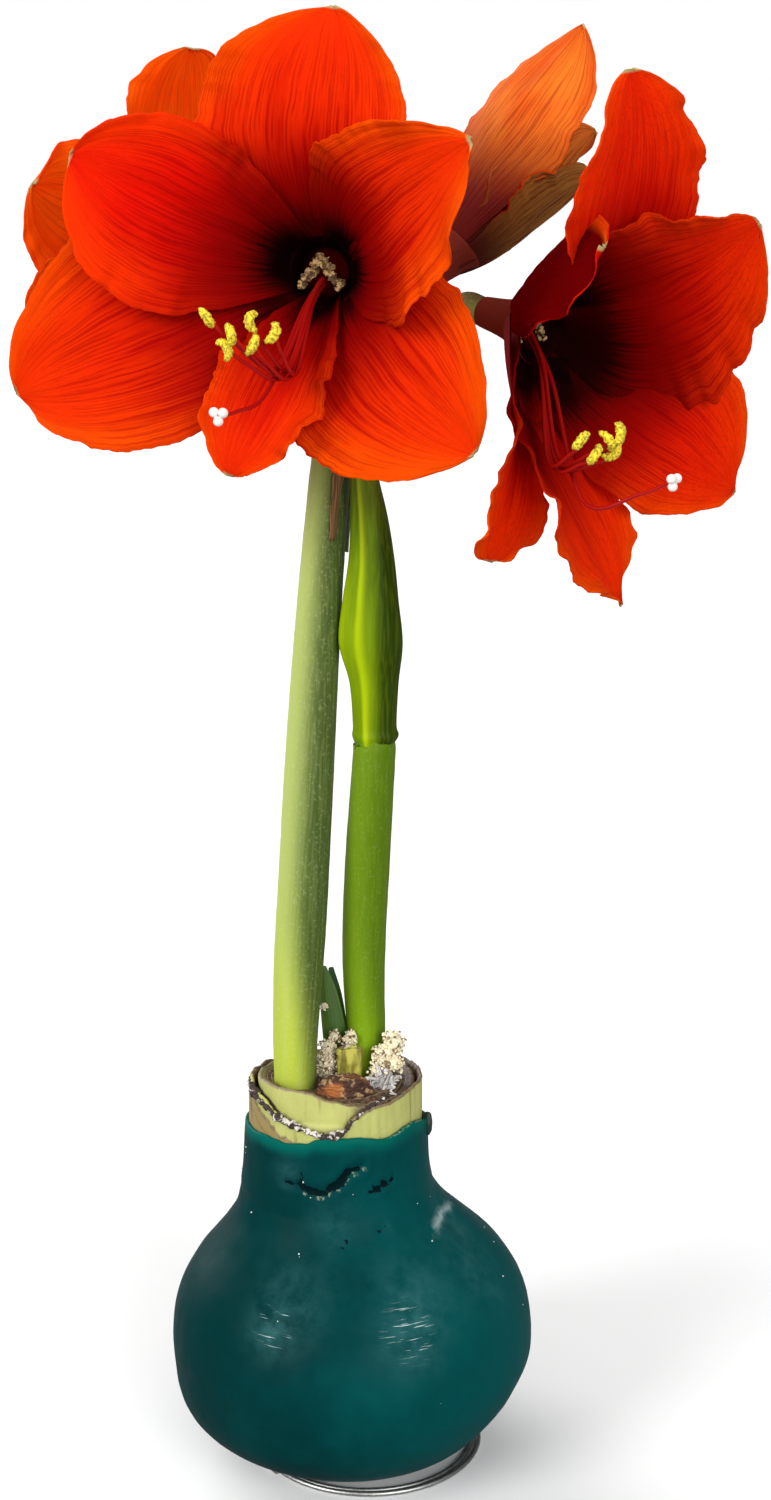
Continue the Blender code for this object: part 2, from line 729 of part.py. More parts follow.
# The bud stem's closed spathe: middle, half width and half depth at each height
SPATHE_RINGS = (
    ((0.0069, -0.0010, BUD_STEM[-1][0][2] + GAP), 0.0056, 0.0054),
    ((0.0071, -0.0011, 0.2212), 0.0066, 0.0060),
    ((0.0069, -0.0013, 0.2245), 0.0062, 0.0054),
    ((0.0068, -0.0018, 0.2365), 0.0069, 0.0056),
    ((0.0060, -0.0025, 0.2480), 0.0089, 0.0066),
    ((0.0060, -0.0025, 0.2600), 0.0078, 0.0062),
    ((0.0062, -0.0022, 0.2715), 0.0064, 0.0052),
    ((0.0055, -0.0015, 0.2830), 0.0052, 0.0042),
    ((0.0042, -0.0010, 0.2935), 0.0040, 0.0032),
    ((0.0030, -0.0005, 0.3040), 0.0026, 0.0022),
    ((0.0022, 0.0000, 0.3130), 0.0008, 0.0008),
)
SPATHE_SIDES = 16
SPATHE_KEEL_SIDE = 11  # the corner that the front ridge runs up
SPATHE_KEEL = 0.0008

# Withered bracts that hang from the umbel, and the young leaves: middle line and half width
BROWN_BRACT = (
    ((0.0005, 0.0042, 0.3235), 0.0020),
    ((-0.0010, 0.0020, 0.3080), 0.0018),
    ((-0.0030, -0.0008, 0.2925), 0.0014),
    ((-0.0046, -0.0026, 0.2770), 0.0009),
)
BROWN_BRACT_FACE = (0.35, -0.94, 0.0)
GREEN_BRACT = (
    ((0.0054, 0.0132, 0.3235), 0.0024),
    ((0.0024, 0.0112, 0.3080), 0.0022),
    ((0.0007, 0.0092, 0.2925), 0.0018),
    ((-0.0008, 0.0076, 0.2720), 0.0008),
)
GREEN_BRACT_FACE = (0.90, 0.43, 0.0)
BRACT_THICKNESS = 0.0008
FRONT_LEAF = (
    ((-0.0044, 0.0056, NECK_FLOOR + GAP), 0.0024),
    ((-0.0050, 0.0056, 0.1275), 0.0032),
    ((-0.0066, 0.0058, 0.1400), 0.0024),
    ((-0.0081, 0.0060, 0.1495), 0.0004),
)
BACK_LEAF = (
    ((-0.0042, 0.0100, NECK_FLOOR + GAP), 0.0020),
    ((-0.0042, 0.0104, 0.1265), 0.0026),
    ((-0.0052, 0.0106, 0.1385), 0.0020),
    ((-0.0061, 0.0110, 0.1475), 0.0004),
)
LEAF_FACE = (0.0, -1.0, 0.0)
LEAF_THICKNESS = 0.0016

# What is left round the stems on the cut neck: lumps of dried callus, a brown scale and paper skin
CALLUS_BED = (
    (-0.0068, 0.0016, 0.1158),
    (-0.0010, 0.0012, 0.1158),
    (0.0040, -0.0008, 0.1158),
    (0.0105, -0.0018, 0.1158),
)
CALLUS_BED_RADIUS = 0.0022
CALLUS_SIDES = 6
CALLUS_LUMPS = (  # middle and radius
    ((-0.0070, 0.0012, 0.1190), 0.0026),
    ((-0.0052, 0.0006, 0.1225), 0.0022),
    ((-0.0012, 0.0006, 0.1190), 0.0023),
    ((-0.0014, 0.0006, 0.1222), 0.0022),
    ((0.0085, -0.0022, 0.1195), 0.0032),
    ((0.0125, -0.0012, 0.1200), 0.0030),
    ((0.0105, -0.0022, 0.1240), 0.0034),
)
BROWN_SCALE_MIDDLE = (-0.0025, -0.0105, NECK_FLOOR + GAP)
BROWN_SCALE_SIZE = (0.0082, 0.0046, 0.0056)
STUB_MIDDLE = (-0.0005, -0.0034, NECK_FLOOR + GAP)
STUB_SIZE = (0.0040, 0.0014)
STUB_HEIGHT = 0.0100
PAPER_SKIN = (
    ((0.0098, -0.0060, NECK_FLOOR + 0.0040), 0.0020),
    ((0.0086, -0.0088, NECK_FLOOR + 0.0016), 0.0023),
    ((0.0074, -0.0122, NECK_FLOOR + 0.0007), 0.0018),
)
PAPER_SKIN_FACE = (0.1, -0.3, 1.0)
PAPER_SKIN_THICKNESS = 0.0006


def blade(name, line, face, thickness, finish, steps=2, cup=0.3):
    """A leaf or bract: a thin blade along its middle line, bent round across it, its cut ends square."""
    run = smooth_run([(*point, half) for point, half in line], steps)
    shape = bmesh.new()
    grid = []
    for index, values in enumerate(run):
        middle = Vector(values[:3])
        before = Vector(run[max(index - 1, 0)][:3])
        after = Vector(run[min(index + 1, len(run) - 1)][:3])
        along = (after - before).normalized()
        side = along.cross(Vector(face)).normalized()
        out = side.cross(along)
        cross = []
        for v in (-1.0, -0.5, 0.0, 0.5, 1.0):
            cross.append(shape.verts.new(middle + values[3] * (v * side - cup * v * v * out)))
        grid.append(cross)
    for lower, upper in zip(grid, grid[1:]):
        for column in range(4):
            shape.faces.new((lower[column], lower[column + 1], upper[column + 1]))
            shape.faces.new((lower[column], upper[column + 1], upper[column]))
    made = link_mesh(name, shape, finish)
    wall = made.modifiers.new("Thickness", "SOLIDIFY")
    wall.thickness = thickness
    wall.offset = 0.0
    return made


def make_bud_spathe():
    """The closed spathe on the second stem: flattened, with a ridge up its front and a swollen collar."""
    shape = bmesh.new()
    rings = []
    for middle, half_width, half_depth in SPATHE_RINGS:
        ring = []
        for side in range(SPATHE_SIDES):
            turn = 2 * math.pi * side / SPATHE_SIDES
            keel = 1 + (SPATHE_KEEL / half_depth if side == SPATHE_KEEL_SIDE else 0)
            offset = Vector((half_width * math.cos(turn), half_depth * math.sin(turn), 0))
            ring.append(shape.verts.new(Vector(middle) + keel * offset))
        rings.append(ring)
    skin(shape, rings)
    return link_mesh("bud_spathe", shape, material("spathe", (0.20, 0.42, 0.03), 0.4))


def make_callus():
    """Pale crumbly callus in a row between the stems, as lumps grown together on one bed."""
    pale = material("callus", (0.75, 0.66, 0.42), 0.9)
    bed = tube(CALLUS_BED, CALLUS_BED_RADIUS, CALLUS_SIDES, name="callus", finish=pale)
    pieces = new_collection("callus_lumps")
    for middle, radius in CALLUS_LUMPS:
        shape = bmesh.new()
        bmesh.ops.create_icosphere(shape, subdivisions=2, radius=radius, matrix=Matrix.Translation(middle))
        link_mesh("lump", shape, collection=pieces)
    return fuse(bed, pieces)


def make_brown_scale():
    """A low dry mound, all that is left of an inner scale, flat where it lies on the neck."""

    def lump(point, turn):
        uneven = 1 + 0.05 * math.sin(4 * turn)
        return Vector(BROWN_SCALE_MIDDLE) + uneven * Vector(a * b for a, b in zip(BROWN_SCALE_SIZE, point))

    shape, rings = turned(
        ((1.0, 0.0), (0.96, 0.35), (0.80, 0.68), (0.50, 0.90), (0.18, 1.0)),
        16,
        lump,
    )
    skin(shape, rings)
    return link_mesh("brown_scale", shape, material("brown_scale", (0.20, 0.07, 0.03), 0.9))


def make_leaf_stub():
    """The cut base of an old leaf, oval, with its lip a little wider than its foot."""

    def oval(point, turn):
        x, y = STUB_SIZE
        return Vector(STUB_MIDDLE) + Vector((x * point.x, y * point.y, STUB_HEIGHT * point.z))

    shape, rings = turned(((0.86, 0.0), (0.92, 0.6), (1.0, 1.0), (0.8, 1.02)), 12, oval)
    skin(shape, rings)
    return link_mesh("leaf_stub", shape, material("leaf_stub", (0.40, 0.42, 0.06), 0.6))


def main():
    clear_scene()
    wax = make_wax_coat()
    make_bulb()
    cut = wax.modifiers.new("Pin hole", "BOOLEAN")
    cut.operation = "DIFFERENCE"
    cut.object = pin_hole("wax_pin_hole")
    make_wire_ring()
    stem_green = material("stem", (0.36, 0.52, 0.16), 0.5)
    ends = []
    for bloom in (FRONT_BLOOM, RIGHT_BLOOM, LEFT_BLOOM, OPENING_BUD):
        ends.append((bloom_frame(bloom["throat"], bloom["facing"]), bloom["route"]))
    make_flower_stem(ends, stem_green)
    petal_red = material("petal", (0.80, 0.06, 0.004), 0.5)
    filament_red = material("filament", (0.35, 0.01, 0.01), 0.5)
    for side, bloom in (("front", FRONT_BLOOM), ("right", RIGHT_BLOOM), ("left", LEFT_BLOOM)):
        frame = bloom_frame(bloom["throat"], bloom["facing"])
        make_bloom(side + "_bloom", frame, bloom["petals"], petal_red)
        make_stamens(side + "_stamens", frame, bloom, filament_red)
    frame = bloom_frame(OPENING_BUD["throat"], OPENING_BUD["facing"])
    make_bloom("opening_bud", frame, OPENING_BUD["petals"], petal_red)
    path = [point for point, radius in BUD_STEM]
    radii = [radius for point, radius in BUD_STEM]
    tube(path, radii, STEM_SIDES, name="bud_stem", finish=stem_green)
    make_bud_spathe()
    brown = material("dry_bract", (0.22, 0.10, 0.04), 0.8)
    blade("brown_bract", BROWN_BRACT, BROWN_BRACT_FACE, BRACT_THICKNESS, brown)
    grey_green = material("green_bract", (0.30, 0.38, 0.20), 0.7)
    blade("green_bract", GREEN_BRACT, GREEN_BRACT_FACE, BRACT_THICKNESS, grey_green)
    leaf_green = material("young_leaf", (0.03, 0.14, 0.03), 0.45)
    blade("front_leaf", FRONT_LEAF, LEAF_FACE, LEAF_THICKNESS, leaf_green)
    blade("back_leaf", BACK_LEAF, LEAF_FACE, LEAF_THICKNESS, leaf_green)
    make_callus()
    make_brown_scale()
    make_leaf_stub()
    skin_silver = material("paper_skin", (0.62, 0.60, 0.56), 0.5)
    blade("paper_skin", PAPER_SKIN, PAPER_SKIN_FACE, PAPER_SKIN_THICKNESS, skin_silver, cup=-0.35)


main()
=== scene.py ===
import math
import random

import bmesh
import bpy
from mathutils import Matrix, Vector, noise


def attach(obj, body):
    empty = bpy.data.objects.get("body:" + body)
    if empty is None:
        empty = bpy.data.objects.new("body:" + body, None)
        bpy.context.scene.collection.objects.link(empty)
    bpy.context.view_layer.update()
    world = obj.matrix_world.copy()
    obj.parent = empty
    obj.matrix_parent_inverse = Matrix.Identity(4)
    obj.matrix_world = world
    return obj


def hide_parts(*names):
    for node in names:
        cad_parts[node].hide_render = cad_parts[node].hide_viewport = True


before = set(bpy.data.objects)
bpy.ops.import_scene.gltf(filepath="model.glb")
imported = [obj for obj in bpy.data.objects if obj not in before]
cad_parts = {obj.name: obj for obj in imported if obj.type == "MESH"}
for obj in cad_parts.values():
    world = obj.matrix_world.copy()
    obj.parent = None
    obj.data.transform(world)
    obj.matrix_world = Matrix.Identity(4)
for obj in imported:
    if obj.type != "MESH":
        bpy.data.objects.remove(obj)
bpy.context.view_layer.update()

# Camera, floor and light
# The plant stands on a plain white floor in even studio light, with soft lights from the left, the front
# and behind. The camera is a little above the blooms and looks slightly down.
CAMERA_PLACE = (0.010, -0.66, 0.3785)
CAMERA_DOWN = math.radians(13.8)
CAMERA_LENS = 57.31
FLOOR_RADIUS = 14.0
FLOOR_DROP = 0.0002
LIGHTS = {  # where each light comes from, its strength and how wide it is
    "main_light": ((-0.74, -0.62, 0.42), 2.2, 30),
    "front_light": ((0.42, -0.86, 0.30), 2.0, 40),
    "back_light": ((-0.60, 0.68, 0.42), 2.0, 50),
}
SKY_STRENGTH = 0.50  # of the sky that lights, that shines back from glossy pieces and that the camera sees
SKY_SHINE = 0.06
SKY_SEEN = 1.0
FLOOR_SEEN = (0.95, 0.95, 0.95)
FLOOR_BOUNCE = (0.30, 0.30, 0.30)


def pick_only(thing):
    bpy.ops.object.select_all(action="DESELECT")
    thing.select_set(True)
    bpy.context.view_layer.objects.active = thing


def give(tree, socket, value):
    """Joins an input to another node's output, or sets its value. Colours are opaque."""
    if isinstance(value, bpy.types.NodeSocket):
        tree.links.new(value, socket)
    elif socket.type == "RGBA":
        socket.default_value = (*value[:3], 1.0)
    else:
        socket.default_value = value


def add_node(tree, kind, inputs=None, **settings):
    """A node with its settings and its inputs, which are named or numbered."""
    made = tree.nodes.new(kind)
    for key, value in settings.items():
        setattr(made, key, value)
    for key, value in (inputs or {}).items():
        give(tree, made.inputs[key], value)
    return made


def new_finish(name, roughness, **values):
    """A material with its node tree and Principled shader. Values are set on the shader's own sockets."""
    made = bpy.data.materials.new(name)
    made.use_nodes = True
    shader = made.node_tree.nodes["Principled BSDF"]
    shader.inputs["Roughness"].default_value = roughness
    for key, value in values.items():
        shader.inputs[key.replace("_", " ")].default_value = value
    return made, made.node_tree, shader


def set_colour(tree, shader, colour):
    tree.links.new(colour, shader.inputs["Base Color"])


def mix_colour(tree, factor, below, above):
    """The output of a colour mix from below to above. Inputs 6 and 7 of the node are its two colours."""
    inputs = {0: factor, 6: below, 7: above}
    return add_node(tree, "ShaderNodeMix", inputs, data_type="RGBA").outputs[2]


def math_node(tree, operation, *values, clamp=False):
    inputs = dict(enumerate(values))
    return add_node(tree, "ShaderNodeMath", inputs, operation=operation, use_clamp=clamp).outputs[0]


def times(tree, first, second):
    return math_node(tree, "MULTIPLY", first, second)


def soft_step(tree, value, low, high):
    """0 under low, 1 over high, and a smooth rise between."""
    inputs = {"Value": value, "From Min": low, "From Max": high}
    return add_node(tree, "ShaderNodeMapRange", inputs, interpolation_type="SMOOTHSTEP").outputs[0]


bpy.ops.object.select_all(action="DESELECT")
bpy.ops.object.camera_add(location=CAMERA_PLACE, rotation=(math.pi / 2 - CAMERA_DOWN, 0, 0))
camera = bpy.context.object
camera.data.lens = CAMERA_LENS
bpy.context.scene.camera = camera
bpy.context.scene.view_settings.view_transform = "Standard"

for name, (side, strength, spread) in LIGHTS.items():
    turn = Vector(side).to_track_quat("Z", "Y").to_euler()
    bpy.ops.object.light_add(type="SUN", rotation=turn)
    lamp = bpy.context.object
    lamp.name = name
    lamp.data.energy = strength
    lamp.data.angle = math.radians(spread)

sky = bpy.data.worlds.new("studio")
sky.use_nodes = True
sky_tree = sky.node_tree
whites = []
for strength in (SKY_STRENGTH, SKY_SHINE, SKY_SEEN):
    inputs = {"Color": (1.0, 1.0, 1.0), "Strength": strength}
    whites.append(add_node(sky_tree, "ShaderNodeBackground", inputs).outputs[0])
lit_white, shine, seen_white = whites
light_path = add_node(sky_tree, "ShaderNodeLightPath").outputs
unseen = {0: light_path["Is Glossy Ray"], 1: lit_white, 2: shine}
unseen = add_node(sky_tree, "ShaderNodeMixShader", unseen).outputs[0]
sky_all = {0: light_path["Is Camera Ray"], 1: unseen, 2: seen_white}
sky_all = add_node(sky_tree, "ShaderNodeMixShader", sky_all).outputs[0]
sky_tree.links.new(sky_all, sky_tree.nodes["World Output"].inputs["Surface"])
bpy.context.scene.world = sky

bpy.ops.mesh.primitive_circle_add(
    vertices=96, radius=FLOOR_RADIUS, fill_type="NGON", location=(0, 0, -FLOOR_DROP)
)
floor = bpy.context.object
floor.name = "floor"
floor_finish, floor_tree, floor_shader = new_finish("pale_floor", 0.9)
viewed = add_node(floor_tree, "ShaderNodeLightPath").outputs["Is Camera Ray"]
floor_colour = mix_colour(floor_tree, viewed, FLOOR_BOUNCE, FLOOR_SEEN)
set_colour(floor_tree, floor_shader, floor_colour)
floor.data.materials.append(floor_finish)

# The bulb, with its cut neck
# A grown amaryllis bulb. Its neck was cut across before the dip: an outer scale, torn low in front, stands
# round a thick inner one, and both have dried brown at the cut. The body is hidden in the wax.
OUTLINE = (  # radius and height of the dipped bulb
    (0.0140, 0.0),
    (0.0240, 0.0020),
    (0.0382, 0.0072),
    (0.0474, 0.0155),
    (0.0523, 0.0256),
    (0.0540, 0.0370),
    (0.0524, 0.0490),
    (0.0468, 0.0600),
    (0.0379, 0.0700),
    (0.0308, 0.0790),
    (0.0279, 0.0890),
    (0.0268, 0.1023),
)
WAX_WALL = 0.002
GAP = 0.0003
NECK_OFFSET = -0.0045
NECK_HEIGHTS = (0.062, 0.088)
BELLY_OFFSET = -0.0024
BELLY_HEIGHTS = (0.0, 0.014, 0.034)
NECK_FOOT = 0.098
OUTER_RADIUS = 0.0253
OUTER_TOP = 0.1142
INNER_RADIUS = 0.0230
INNER_TOP = 0.1181
NECK_FLOOR = 0.1158
NECK_STEPS = 300
OUTER_EDGE = (  # turn in degrees and height of the outer scale's edge
    (-180, 0.1182),
    (-150, 0.1168),
    (-125, 0.1124),
    (-100, 0.1093),
    (-87, 0.1101),
    (-76, 0.1150),
    (-60, 0.1170),
    (-24, 0.1190),
    (20, 0.1180),
    (90, 0.1166),
    (150, 0.1172),
    (180, 0.1182),
)
INNER_EDGE = (
    (-180, 0.1186),
    (-150, 0.1200),
    (-112, 0.1209),
    (-92, 0.1188),
    (-78, 0.1174),
    (-60, 0.1164),
    (-20, 0.1170),
    (20, 0.1176),
    (90, 0.1168),
    (150, 0.1176),
    (180, 0.1186),
)
LOW_TEAR = ((-172, 0.1160), (-158, 0.1143), (-141, 0.1108), (-128, 0.1068), (-112, 0.1052))
SCALE_GREEN = (0.34, 0.34, 0.085)
SCALE_PALE = (0.56, 0.58, 0.19)
SCALE_BEIGE = (0.29, 0.215, 0.075)
STREAK_BROWN = (0.20, 0.10, 0.04)
CUT_BROWN = (0.070, 0.040, 0.026)
CUT_LIGHT_BROWN = (0.20, 0.12, 0.07)
CUT_CREAM = (0.50, 0.43, 0.23)
LAYER_CREAM = (0.46, 0.36, 0.20)
LAYER_GAP = 0.0007
OUTER_FROM = 0.0236  # the radii from which a point is on the outer scale and on the inner one
INNER_FROM = 0.0190
TEAR_END = (-118, -108)  # the turns over which the torn left side ends and the dried front edge starts
FRONT_EDGE = (-90, -76)
SPLIT_TURN = -163
SPLIT_HEIGHTS = (0.104, 0.108)
DRY_FROM = (-82, -70)  # the turns over which the inner scale's dry right side starts and ends
DRY_TO = (30, 50)


def ease(low, high, value):
    t = min(max((value - low) / (high - low), 0.0), 1.0)
    return t * t * (3 - 2 * t)


def bump(distance, width):
    return math.exp(-((distance / width) ** 2))


def along_line(line, place):
    """The height of a line of (place, height) points, eased from each to the next."""
    for (start, low), (end, high) in zip(line, line[1:]):
        if start <= place <= end:
            return low + (high - low) * ease(start, end, place)
    return line[0][1] if place < line[0][0] else line[-1][1]


def rough(point, size, seed=0.0):
    """Smooth noise from -1 to 1 with that grain size, in metres."""
    return noise.noise(Vector(point) / size + Vector((seed, 2 * seed, 3 * seed)))


def side_shift(height):
    """How far the bulb's middle lies to the left at a height."""
    neck = NECK_OFFSET * ease(*NECK_HEIGHTS, height)
    above_foot = ease(BELLY_HEIGHTS[0], BELLY_HEIGHTS[1], height)
    below_top = 1 - ease(BELLY_HEIGHTS[1], BELLY_HEIGHTS[2], height)
    return neck + BELLY_OFFSET * above_foot * below_top


def round_place(radius, turn, height, lift):
    """A place round the bulb's middle at a height, then lifted. The turn is in degrees."""
    angle = math.radians(turn)
    return Vector((radius * math.cos(angle) + side_shift(height), radius * math.sin(angle), height + lift))


def inset_outline(inset):
    """The dipped bulb's outline, moved in along its own normal."""
    moved = []
    for index, (radius, height) in enumerate(OUTLINE):
        before = OUTLINE[max(index - 1, 0)]
        after = OUTLINE[min(index + 1, len(OUTLINE) - 1)]
        along = Vector((after[0] - before[0], after[1] - before[1])).normalized()
        moved.append((radius - inset * along.y, height + inset * along.x))
    return moved


def smooth_run(points, steps):
    """Points of any length along a Catmull-Rom curve, steps to each span."""
    ends = [tuple(2 * a - b for a, b in zip(points[0], points[1]))]
    ends += list(points)
    ends.append(tuple(2 * a - b for a, b in zip(points[-1], points[-2])))
    run = []
    for span in range(1, len(ends) - 2):
        p0, p1, p2, p3 = ends[span - 1 : span + 3]
        for step in range(steps):
            t = step / steps
            point = []
            for a, b, c, d in zip(p0, p1, p2, p3):
                square = 2 * a - 5 * b + 4 * c - d
                cube = 3 * b - a - 3 * c + d
                point.append(0.5 * (2 * b + (c - a) * t + square * t**2 + cube * t**3))
            run.append(tuple(point))
    run.append(tuple(points[-1]))
    return run


def even_run(run, spacing):
    """Points at even spacing along a run."""
    points = [Vector(point) for point in run]
    lengths = [0.0]
    for before, after in zip(points, points[1:]):
        lengths.append(lengths[-1] + (after - before).length)
    count = max(2, round(lengths[-1] / spacing))
    evened = []
    span = 0
    for step in range(count + 1):
        place = lengths[-1] * step / count
        while span < len(points) - 2 and lengths[span + 1] < place:
            span += 1
        share = (place - lengths[span]) / (lengths[span + 1] - lengths[span])
        evened.append(tuple(points[span].lerp(points[span + 1], min(max(share, 0.0), 1.0))))
    return evened


def turned(name, profile, steps):
    """Draws out a profile of (radius, height) points and spins it round the Z axis into a closed body."""
    bpy.ops.object.select_all(action="DESELECT")
    bpy.ops.mesh.primitive_plane_add(size=0.001, location=(0, 0, 0))
    made = bpy.context.object
    made.name = name
    bpy.ops.object.mode_set(mode="EDIT")
    bpy.ops.mesh.select_mode(type="VERT")
    bpy.ops.mesh.select_all(action="SELECT")
    bpy.ops.mesh.merge(type="CENTER")
    bpy.ops.transform.translate(value=(profile[0][0], 0, profile[0][1]))
    for before, after in zip(profile, profile[1:]):
        step = (after[0] - before[0], 0, after[1] - before[1])
        bpy.ops.mesh.extrude_vertices_move(TRANSFORM_OT_translate={"value": step})
    bpy.ops.mesh.select_all(action="SELECT")
    bpy.ops.mesh.spin(steps=steps, angle=2 * math.pi, center=(0, 0, 0), axis=(0, 0, 1))
    bpy.ops.mesh.select_all(action="SELECT")
    bpy.ops.mesh.remove_doubles(threshold=1e-6)
    bpy.ops.mesh.normals_make_consistent(inside=False)
    bpy.ops.object.mode_set(mode="OBJECT")
    bpy.ops.object.shade_smooth()
    return made


def mark(thing, name, values):
    """Keeps one number for each point of the mesh, which its material reads."""
    layer = thing.data.attributes.new(name, "FLOAT", "POINT")
    layer.data.foreach_set("value", values)


def mark_all(thing, marks):
    """Keeps several marks, from one table of them for each point of the mesh."""
    for name in marks[0]:
        mark(thing, name, [values[name] for values in marks])


def mark_of(tree, name):
    return add_node(tree, "ShaderNodeAttribute", attribute_name=name).outputs["Fac"]


def seat(thing, slot, *nodes):
    """The finished piece rides on the plant and stands for its nodes; its slot is not used."""
    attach(thing, "root")
    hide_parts(*nodes)


def neck_profile():
    """From the axis at the foot, up the outside, over both cut edges, and in to the axis again."""
    body = [(0.0, WAX_WALL + GAP)] + inset_outline(WAX_WALL + GAP)[:-1]
    outside = even_run([(OUTER_RADIUS, NECK_FOOT), (OUTER_RADIUS, OUTER_TOP - 0.0008)], 0.0004)
    lip = [(0.02535, 0.1138), (0.0251, 0.1142), (0.0247, 0.1142), (0.0243, 0.1139), (0.0240, 0.1130)]
    groove = [(0.0238, 0.1118), (0.0234, 0.1112)]
    inner = even_run([(INNER_RADIUS, 0.1116), (INNER_RADIUS, INNER_TOP - 0.0006)], 0.0004)
    inner_lip = [(0.0228, 0.1179), (0.0224, 0.1181), (0.0219, 0.1180), (0.0213, 0.1175)]
    top = [(0.0205, 0.1172), (0.0194, 0.1168), (0.0180, 0.1167), (0.0164, 0.1168), (0.0140, 0.1168)]
    middle = [(0.0120, 0.1166), (0.0100, 0.1162)]
    middle += [(radius, NECK_FLOOR) for radius in (0.0070, 0.0030, 0.0)]
    return body + outside + lip + groove + inner + inner_lip + top + middle


bulb = turned("cut_bulb", neck_profile(), NECK_STEPS)
marks = []
for point in bulb.data.vertices:
    place = point.co.copy()
    radius = math.hypot(place.x, place.y)
    turn = math.degrees(math.atan2(place.y, place.x))
    dry = cream = beige = lift = 0.0
    if place.z > NECK_FOOT - 0.001 or radius < INNER_RADIUS - 0.002:
        jag = 0.0006 * rough((turn / 9, 0, 0), 1.0, 3) + 0.0004 * rough((turn / 2.5, 0, 0), 1.0, 5)
        if radius > OUTER_FROM:
            edge = along_line(OUTER_EDGE, turn) + jag
            lift = (edge - OUTER_TOP) * ease(NECK_FOOT, OUTER_TOP, place.z)
            over_tear = place.z + lift - (along_line(LOW_TEAR, turn) + 2 * jag)
            left_side = 1 - ease(*TEAR_END, turn)
            front_side = ease(*FRONT_EDGE, turn)
            beige = ease(-0.0002, 0.0002, -over_tear) * left_side
            radius += 0.00045 * beige
            radius += 0.0002 * rough((turn / 4, place.z / 0.012, 0), 1.0, 7)
            wander = 3 * rough((place.z / 0.004, 0, 0), 1.0, 4)
            split = bump(turn - SPLIT_TURN + wander, 2.2) * ease(*SPLIT_HEIGHTS, place.z)
            tear_edge = 0.85 * bump(over_tear, 0.0004) * left_side
            second_edge = 0.6 * bump(over_tear + 0.0042, 0.0003) * left_side
            inside = 1 - ease(0.0240, 0.0247, math.hypot(place.x, place.y))
            lip = 0.95 * ease(OUTER_TOP - 0.0009, OUTER_TOP - 0.0003, place.z) * front_side
            dry = max(tear_edge, second_edge, 0.8 * split, inside, lip)
            cream = 0.22 * bump(place.z - OUTER_TOP + 0.0001, 0.0002) * (1 - inside) * front_side
        elif radius > INNER_FROM:
            edge = along_line(INNER_EDGE, turn) + 0.5 * jag
            lift = (edge - INNER_TOP) * ease(0.1112, INNER_TOP, place.z)
            right_side = ease(*DRY_FROM, turn) * (1 - ease(*DRY_TO, turn))
            cream = 0.30 * bump(place.z - INNER_TOP + 0.0001, 0.00018) * ease(0.0212, 0.0218, radius)
            cream *= 1 - 0.8 * right_side
            under_tear = 1 - ease(0.0, 0.0006, place.z + lift - along_line(OUTER_EDGE, turn) + 0.0010)
            lip = 0.95 * ease(INNER_TOP - 0.0007, INNER_TOP - 0.0002, place.z)
            dry = max(1 - ease(0.0205, 0.0222, radius), under_tear, lip, 0.95 * right_side)
        else:
            lift = 0.0006 * rough((place.x, place.y, 0), 0.0025, 1) + 0.0004 * math.sin(radius / 0.00035)
            dry = 1.0
    point.co = round_place(radius, turn, place.z, lift)
    marks.append({"dry": dry, "cream": cream, "beige": beige})
mark_all(bulb, marks)


def own_place(tree):
    return add_node(tree, "ShaderNodeTexCoord").outputs["Object"]


def axes_of(tree, vector):
    """The outputs for x, y and z of a vector."""
    return add_node(tree, "ShaderNodeSeparateXYZ", {0: vector}).outputs


def vector_node(tree, operation, *values):
    """The outputs of a sum on vectors: 0 is its vector, and 1 its length or distance."""
    return add_node(tree, "ShaderNodeVectorMath", dict(enumerate(values)), operation=operation).outputs


def mottle(tree, where, scale, detail=2.0, roughness=0.5):
    """Noise from 0 to 1. The scale is its grains to a metre, or to one unit of where."""
    inputs = {"Vector": where, "Scale": scale, "Detail": detail, "Roughness": roughness}
    return add_node(tree, "ShaderNodeTexNoise", inputs).outputs["Fac"]


def new_group(name, inputs, outputs):
    """A node group with sockets of those names and kinds, what it is given and where it sends results."""
    group = bpy.data.node_groups.new(name, "ShaderNodeTree")
    for way, sockets in (("INPUT", inputs), ("OUTPUT", outputs)):
        for socket, kind in sockets.items():
            group.interface.new_socket(socket, in_out=way, socket_type=f"NodeSocket{kind}")
    given = group.nodes.new("NodeGroupInput").outputs
    return group, given, group.nodes.new("NodeGroupOutput").inputs


def streak_group():
    """Fine streaks along one direction of a pattern: stretched noise, as a mask and a height."""
    inputs = {"Vector": "Vector", "Across": "Float", "Along": "Float"}
    group, given, sent = new_group("grown streaks", inputs, {"Mask": "Float", "Height": "Float"})
    stretch = {0: given["Across"], 1: given["Across"], 2: given["Along"]}
    stretch = add_node(group, "ShaderNodeCombineXYZ", stretch).outputs[0]
    streaks = mottle(group, vector_node(group, "MULTIPLY", given["Vector"], stretch)[0], 1.0, 4.0)
    group.links.new(soft_step(group, streaks, 0.42, 0.66), sent["Mask"])
    group.links.new(streaks, sent["Height"])
    return group


def place_group(tree, group, **inputs):
    return add_node(tree, "ShaderNodeGroup", inputs, node_tree=group).outputs


def add_relief(tree, shader, height, strength, distance):
    inputs = {"Height": height, "Strength": strength, "Distance": distance}
    give(tree, shader.inputs["Normal"], add_node(tree, "ShaderNodeBump", inputs).outputs[0])


